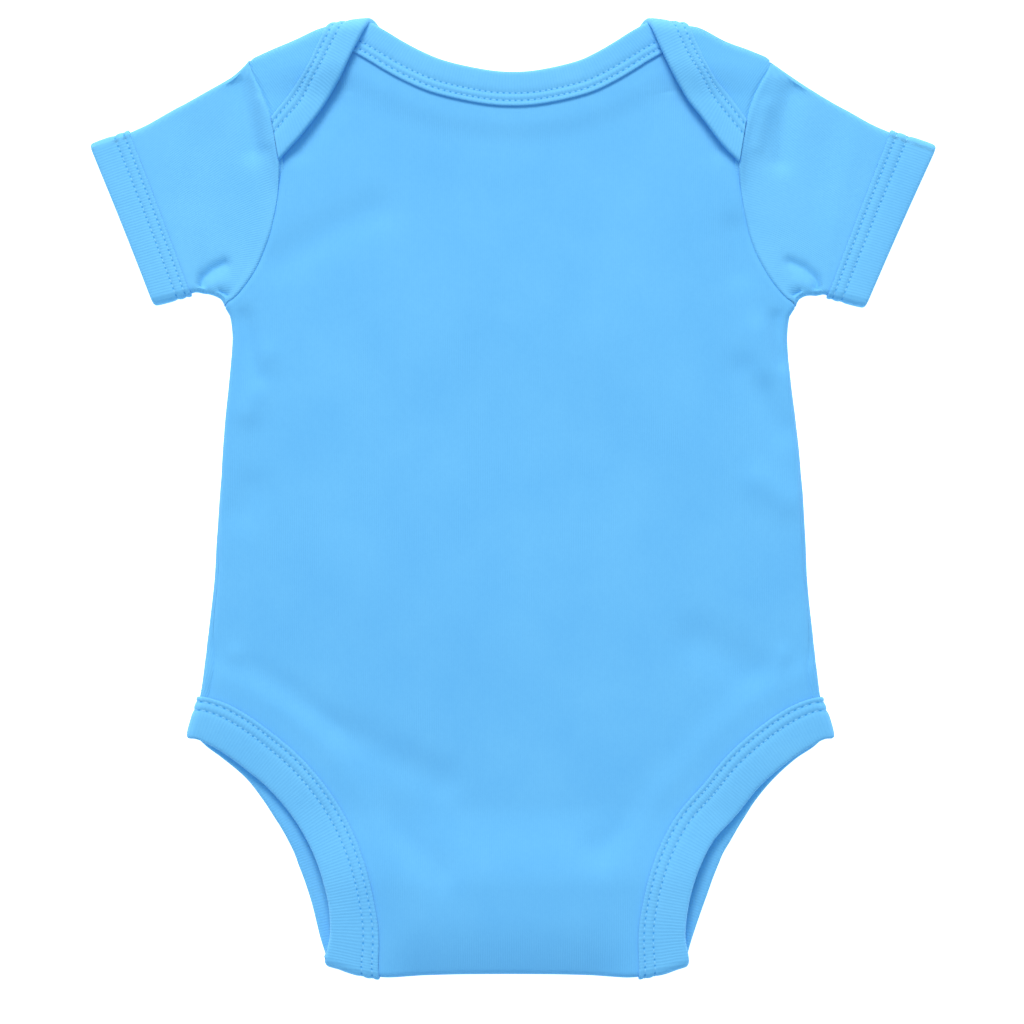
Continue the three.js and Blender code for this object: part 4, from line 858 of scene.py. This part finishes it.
def binding_section(width, rows):
    """Points across a folded binding (from its ridge outwards, and out along the normal)."""
    first, second = rows
    top = [(0, slot + 0.05), (-0.35, 1.15), (-0.25, 1.5), (0.2, 1.72), (first - 0.8, 1.66),
           (first - 0.4, 1.45), (first, 1.32), (first + 0.4, 1.45), (first + 0.9, 1.66),
           ((first + second) / 2, 1.76), (second - 0.9, 1.66), (second - 0.4, 1.45), (second, 1.32),
           (second + 0.4, 1.45), (second + 1.1, 1.64)]
    top += [(x, rib + 0.12 * math.sin(math.pi * (x - second) / (width - second)))
            for x in np.arange(second + 2, width - 2.2, 1.1)]
    turn = [(width - 1.4 + 1.4 * math.sin(t), rib * math.cos(t))
            for t in np.linspace(0.05, math.pi - 0.05, 11)]
    under = [(x, -rib) for x in np.arange(width - 2.6, 0.6, -1.2)]
    under += [(0.1, -rib), (-0.3, -1.4), (-0.2, -1.0), (0, -slot)]
    inside = [(x, -slot) for x in np.linspace(1, width - 1.9, 8)] + [(width - 1.5, 0)]
    inside += [(x, slot) for x in np.linspace(width - 1.9, 1, 8)]
    return np.array(top + turn + under + inside)


def binding_piece(name, points, lengths, section, closed=False):
    """A binding from its sections; an open one gets a flat face at each end."""
    rows, cols = points.shape[:2]
    index = np.arange(rows * cols).reshape(rows, cols)
    index = np.concatenate([index, index[:, :1]], axis=1)
    if closed:
        index = np.concatenate([index, index[:1]])
    faces = quads(index)
    if not closed:
        faces += [index[0, :-1][::-1].tolist(), index[-1, :-1].tolist()]
    # The map gives the upper face its rows of stitches and takes the rest past them
    across = np.where(section[:, 1] > slot, section[:, 0], -1 - section[:, 0])
    uv = np.stack(np.broadcast_arrays(lengths[:, None], across[None, :]), axis=-1)
    return sewn_piece(name, points.reshape(-1, 3), faces, uv)


def place_on(line, at):
    """Points between those of a line, at whole and part numbers along it."""
    i = np.arange(len(line))
    return np.stack([np.interp(at, i, line[:, k]) for k in range(line.shape[1])], axis=-1)


class Strip:
    """A binding laid along the outer edge of a laid-out panel, with its ridge inwards of that."""

    def __init__(self, edge, ridge, width, surface, ends=None):
        self.edge, self.ridge, self.width, self.surface = edge, ridge, width, surface
        last = len(edge) - 1
        (o0, o1), (i0, i1) = ends or ((0, last), (0, last))
        self.run = run_along(edge)
        self.start, self.stop = self.run[o0], self.run[o1]
        self.skew = (i0 - o0, i1 - o1)

    def at(self, length, across):
        """Point and normal at a length along the strip, and across it from its ridge."""
        length, across = np.broadcast_arrays(np.asarray(length, float), np.asarray(across, float))
        outer = np.interp(length, self.run, np.arange(len(self.run)))
        inner = outer + self.skew[0] * (1 - ease((length - self.start) / 24))
        inner = inner + self.skew[1] * (1 - ease((self.stop - length) / 24))
        share = (across / self.width)[..., None]
        laid = mix(place_on(self.ridge, inner), place_on(self.edge, outer), share)
        return self.surface(laid[..., 0], laid[..., 1])

    def body(self, name, section):
        """The strip's sections stand closer together where either edge runs fast round a fold."""
        fine = np.linspace(self.start, self.stop, 4000)
        edges = [self.at(fine, across)[0] for across in (0, self.width)]
        travel = np.max([np.linalg.norm(np.diff(edge, axis=0), axis=1) for edge in edges], axis=0)
        reach = np.concatenate([[0], np.cumsum(travel)])
        length = np.interp(np.linspace(0, reach[-1], int(reach[-1] / 0.85)), reach, fine)
        points, normals = self.at(length[:, None], section[None, :, 0])
        points = points + normals * section[None, :, 1, None]
        return binding_piece(name, points, length - self.start - first_stitch, section)


stitch_length, stitch_width, stitch_height = 1.2, 0.24, 0.17
stitch_level = 1.4               # a stitch's middle above the middle of the binding
first_stitch = 1.2


def stitch_piece(name, rows):
    """Small stitches of thread; each row is points, directions along the row and normals."""
    turn = np.linspace(0, 2 * np.pi, 7)[:-1]
    rings = [(-0.5, 0.35), (-0.3, 0.9), (0.3, 0.9), (0.5, 0.35)]
    template = np.array([(x, r * math.cos(t), r * math.sin(t)) for x, r in rings for t in turn])
    template *= (stitch_length, stitch_width, stitch_height)
    faces = [(6 * k + j, 6 * k + (j + 1) % 6, 6 * k + 6 + (j + 1) % 6, 6 * k + 6 + j)
             for k in range(3) for j in range(6)]
    faces += [(5, 4, 3, 2, 1, 0), (18, 19, 20, 21, 22, 23)]
    vertices, all_faces = [], []
    for points, ahead, normals in rows:
        ahead = ahead / np.linalg.norm(ahead, axis=1)[:, None]
        axes = np.stack([ahead, np.cross(normals, ahead), normals], axis=1)
        for point, turned in zip(points, axes):
            all_faces += [tuple(len(vertices) + k for k in f) for f in faces]
            vertices += (point + template @ turned).tolist()
    return sewn_piece(name, vertices, all_faces)


def strip_stitches(strip, rows):
    """Where the stitches of a strip lie, which way each runs, and which way is up."""
    found = []
    for across in rows:
        length = np.arange(strip.start + first_stitch, strip.stop - 1.0, stitch_pitch)
        points, normals = strip.at(length, across)
        ahead = strip.at(length + 0.3, across)[0] - strip.at(length - 0.3, across)[0]
        found.append((points + normals * stitch_level, ahead, normals))
    return found


def evened(line, reach=45):
    """A line with its small wiggles averaged out and its ends kept."""
    padded = np.pad(line, ((reach, reach), (0, 0)), mode="reflect", reflect_type="odd")
    weights = np.hanning(2 * reach + 1)
    return np.stack([np.convolve(padded[:, k], weights / weights.sum(), "valid") for k in (0, 1)], axis=1)


rib_blue = (0.165, 0.540, 0.940)
leg_rows = (1.8, 5.3)            # how far the two rows of stitches lie from the binding's inner edge
hem_rib = knit_material("leg_and_cuff_rib", rib_blue, rib_pitch, 0.08, 0.11, leg_rows)
# The thread is coloured lighter than the rib: a painted highlight on the tops of the stitches.
sewing_thread_painted_highlight = knit_material("sewing_thread_painted_highlight", (0.25, 0.64, 0.97), 0.3, 0.02, 0.1)


def sew_on(band, thread, knit, node_name):
    """Gives a binding and its stitches their cloth, attaches both to the root body, and hides the imported
    part that the binding replaces.
    """
    for piece, material in ((thread, sewing_thread_painted_highlight), (band, knit)):
        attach(piece, "root")
        piece.data.materials.append(material)
    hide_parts(node_name)


leg_section = binding_section(leg_width, leg_rows)
for sign, side, spare in ((-1, "left", 4.2), (1, "right", 2.3)):
    # Towards the crotch each binding is pulled out wider, by up to the spare width
    wider = spare * ease((-156 - leg_paths[sign][:, 1]) / 34)
    ridge = evened(over_surface(leg_paths[sign], leg_width + wider, sign, on_back))
    strip = Strip(leg_paths[sign], ridge, leg_width, on_back)
    sew_on(strip.body(f"leg_binding_{side}", leg_section),
           stitch_piece(f"leg_stitches_{side}", strip_stitches(strip, leg_rows)),
           hem_rib, f"leg_band_{side}")

# ------------------------------------------------------------------ the neck bindings
# Narrower strips of the same rib bind the back neckline and, in one length, the front neckline
# with the edges of both flaps. The flap ends are caught in the armhole seams.
neck_rows = (1.7, 4.6)
neck_section = binding_section(neck_width, neck_rows)
neck_rib = knit_material("neck_rib", rib_blue, rib_pitch, 0.08, 0.11, neck_rows)


def neck_strip(side, edge, surface, ends_of):
    """One neck binding, cut off at both ends where its edge and its ridge reach the seam."""
    ridge = over_surface(edge, neck_width, -1, surface)
    strip = Strip(edge, ridge, neck_width, surface, (ends_of(edge), ends_of(ridge)))
    sew_on(strip.body(f"{side}_neck_binding", neck_section),
           stitch_piece(f"{side}_neck_stitches", strip_stitches(strip, neck_rows)),
           neck_rib, f"{side}_neck_band")


def under_flaps(line):
    """The part of the back neckline between the slanting cuts at both shoulders."""
    slope, level, left_end, right_end = 1.15, 186.6, -56.4, 52.6
    left = level - line[:, 1] + slope * (line[:, 0] - left_end)
    right = level - line[:, 1] - slope * (line[:, 0] - right_end)
    kept = np.nonzero(np.minimum(left, right) > 0)[0]
    return kept[0], kept[-1]


def inside_armholes(line):
    """The part of the front's free edge between the two armhole seams."""
    fy, _, r = shoulder_fold(line[:, 0])
    y = np.minimum(fy, 2 * fy + np.pi * r - line[:, 1])
    kept = np.nonzero(edge_distance(armholes, line[:, 0], y) > gap / 2)[0]
    return kept[0], kept[-1]


neck_strip("back", smooth_line(back_neckline, 900), on_back, under_flaps)
neck_strip("front", neck_path, on_front, inside_armholes)

# ------------------------------------------------------------------ the cuff bindings
# Each sleeve ends in a folded strip of rib, sewn into a ring, that lies flat with the sleeve.
cuff_section = binding_section(cuff_width, leg_rows)
first_cuff_stitch = 0.6
for sign, side in ((-1, "left"), (1, "right")):
    ridge, normals = sleeve_ring(sign, 1, round_ends)
    hem, _ = sleeve_ring(sign, 1, round_ends, cuffs[sign])
    share = (cuff_section[:, 0] / cuff_width)[None, :, None]
    points = mix(ridge[:, None], hem[:, None], share) + normals[:, None] * cuff_section[None, :, 1, None]
    run = run_along(hem)
    at = np.interp(np.arange(first_cuff_stitch, run[-1], stitch_pitch), run, np.arange(len(run)))
    rows = []
    for across in leg_rows:
        line = mix(ridge, hem, across / cuff_width)
        up = place_on(normals, at)
        rows.append((place_on(line, at) + up * stitch_level,
                     place_on(line, at + 0.2) - place_on(line, at - 0.2), up))
    sew_on(binding_piece(f"cuff_binding_{side}", points, run - first_cuff_stitch, cuff_section, True),
           stitch_piece(f"cuff_stitches_{side}", rows),
           hem_rib, f"cuff_band_{side}")

# ------------------------------------------------------------------ the snaps
# Three moulded plastic snaps close the crotch: a flat cap under the front tab, and on the back tab
# a stud with a narrow neck that the cap's socket grips. Both are pressed through the cloth.
snap_white = bpy.data.materials.new("snap_plastic")
snap_white.use_nodes = True
tree = snap_white.node_tree
shader = tree.nodes["Principled BSDF"]
grain = noise(tree, node(tree, "TexCoord").outputs["Object"], 900.0, 2.0)
bump = node(tree, "Bump", {"Height": grain, "Strength": 0.4, "Distance": 0.00002})
tree.links.new(remap(tree, grain, 0.0, 1.0, 0.32, 0.5), shader.inputs["Roughness"])
tree.links.new(blended(tree, grain, (0.86, 0.89, 0.91, 1), (0.9, 0.92, 0.93, 1)), shader.inputs["Base Color"])
tree.links.new(bump.outputs["Normal"], shader.inputs["Normal"])
snap_thickness = 1.0


def snap_part(node_name, name, radius, faces_up, insets):
    """A moulded disc; each inset is how far in from the last edge, and how far its face then moves."""
    corner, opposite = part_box(node_name)
    place = ((corner.x + opposite.x) / 2, (corner.y + opposite.y) / 2, corner.z + snap_thickness / 2000)
    bpy.ops.mesh.primitive_cylinder_add(vertices=48, radius=radius / 1000, depth=snap_thickness / 1000,
                                        location=place)
    disc = bpy.context.active_object
    disc.name = name
    bpy.ops.object.transform_apply(location=True, rotation=True, scale=True)
    bpy.ops.object.mode_set(mode="EDIT")
    for inset, rise in insets:
        shape = bmesh.from_edit_mesh(disc.data)
        ends = [f for f in shape.faces if len(f.verts) > 4]
        chosen = max(ends, key=lambda f: f.calc_center_median().z * (1 if faces_up else -1))
        bpy.ops.mesh.select_all(action="DESELECT")
        chosen.select = True
        bmesh.update_edit_mesh(disc.data)
        if inset:
            bpy.ops.mesh.inset(thickness=inset / 1000)
        else:
            bpy.ops.mesh.extrude_region_move()
        bpy.ops.transform.translate(value=(0, 0, rise / 1000))
    bpy.ops.object.mode_set(mode="OBJECT")
    soft = disc.modifiers.new("soft_edges", "BEVEL")
    soft.width, soft.segments, soft.limit_method, soft.angle_limit = 0.00012, 3, "ANGLE", math.radians(40)
    finish_piece(disc)
    disc.data.materials.append(snap_white)
    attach(disc, "root")
    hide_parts(node_name)


for side in ("left", "middle", "right"):
    snap_part(f"snap_cap_{side}", f"snap_face_{side}", 4.6, False, [(0.7, 0.25), (1.6, -0.1)])
    snap_part(f"snap_stud_{side}", f"snap_post_{side}", 4.3, True,
              [(1.8, 0), (0, 0.8), (0.5, 0.15), (0, 0.2)])

# ------------------------------------------------------------------ floor, light, camera
# A white table, a soft lamp beyond the neck, a wide soft one overhead, and a camera straight above.
bpy.ops.mesh.primitive_plane_add(size=8, location=(0, 0, -0.0002))
table = bpy.context.active_object
table.name = "table_top"
white = bpy.data.materials.new("white_table")
white.use_nodes = True
paint = white.node_tree.nodes["Principled BSDF"]
paint.inputs["Base Color"].default_value = (0.9, 0.9, 0.9, 1)
paint.inputs["Roughness"].default_value = 0.9
paint.inputs["Emission Color"].default_value = (1, 1, 1, 1)
paint.inputs["Emission Strength"].default_value = 0.9
table.data.materials.append(white)

for name, place, size, power, colour in (
        ("lamp_beyond_the_neck", (-0.3, 2.15, 2.0), 1.1, 80, (1.0, 0.84, 0.70)),
        ("lamp_overhead", (0.0, 0.0, 1.6), 1.4, 3.3, (1.0, 0.97, 0.94))):
    lamp = bpy.data.objects.new(name, bpy.data.lights.new(name, "AREA"))
    lamp.data.energy, lamp.data.size, lamp.data.color = power, size, colour
    lamp.location = place
    lamp.rotation_euler = (-Vector(place)).to_track_quat("-Z", "Y").to_euler()
    bpy.context.scene.collection.objects.link(lamp)
world = bpy.data.worlds.new("studio")
bpy.context.scene.world = world
world.use_nodes = True
sky = world.node_tree.nodes["Background"]
sky.inputs["Color"].default_value = (0.5, 0.8, 1.0, 1)
sky.inputs["Strength"].default_value = 0.545
bpy.context.scene.view_settings.view_transform = "Standard"

camera = bpy.data.objects.new("camera", bpy.data.cameras.new("camera"))
bpy.context.scene.collection.objects.link(camera)
view_middle = (chest + np.array([-0.6, -5.5, 0])) / 1000
camera.data.lens = 100
camera.location = (view_middle[0], view_middle[1], 1.1219)
bpy.context.scene.camera = camera
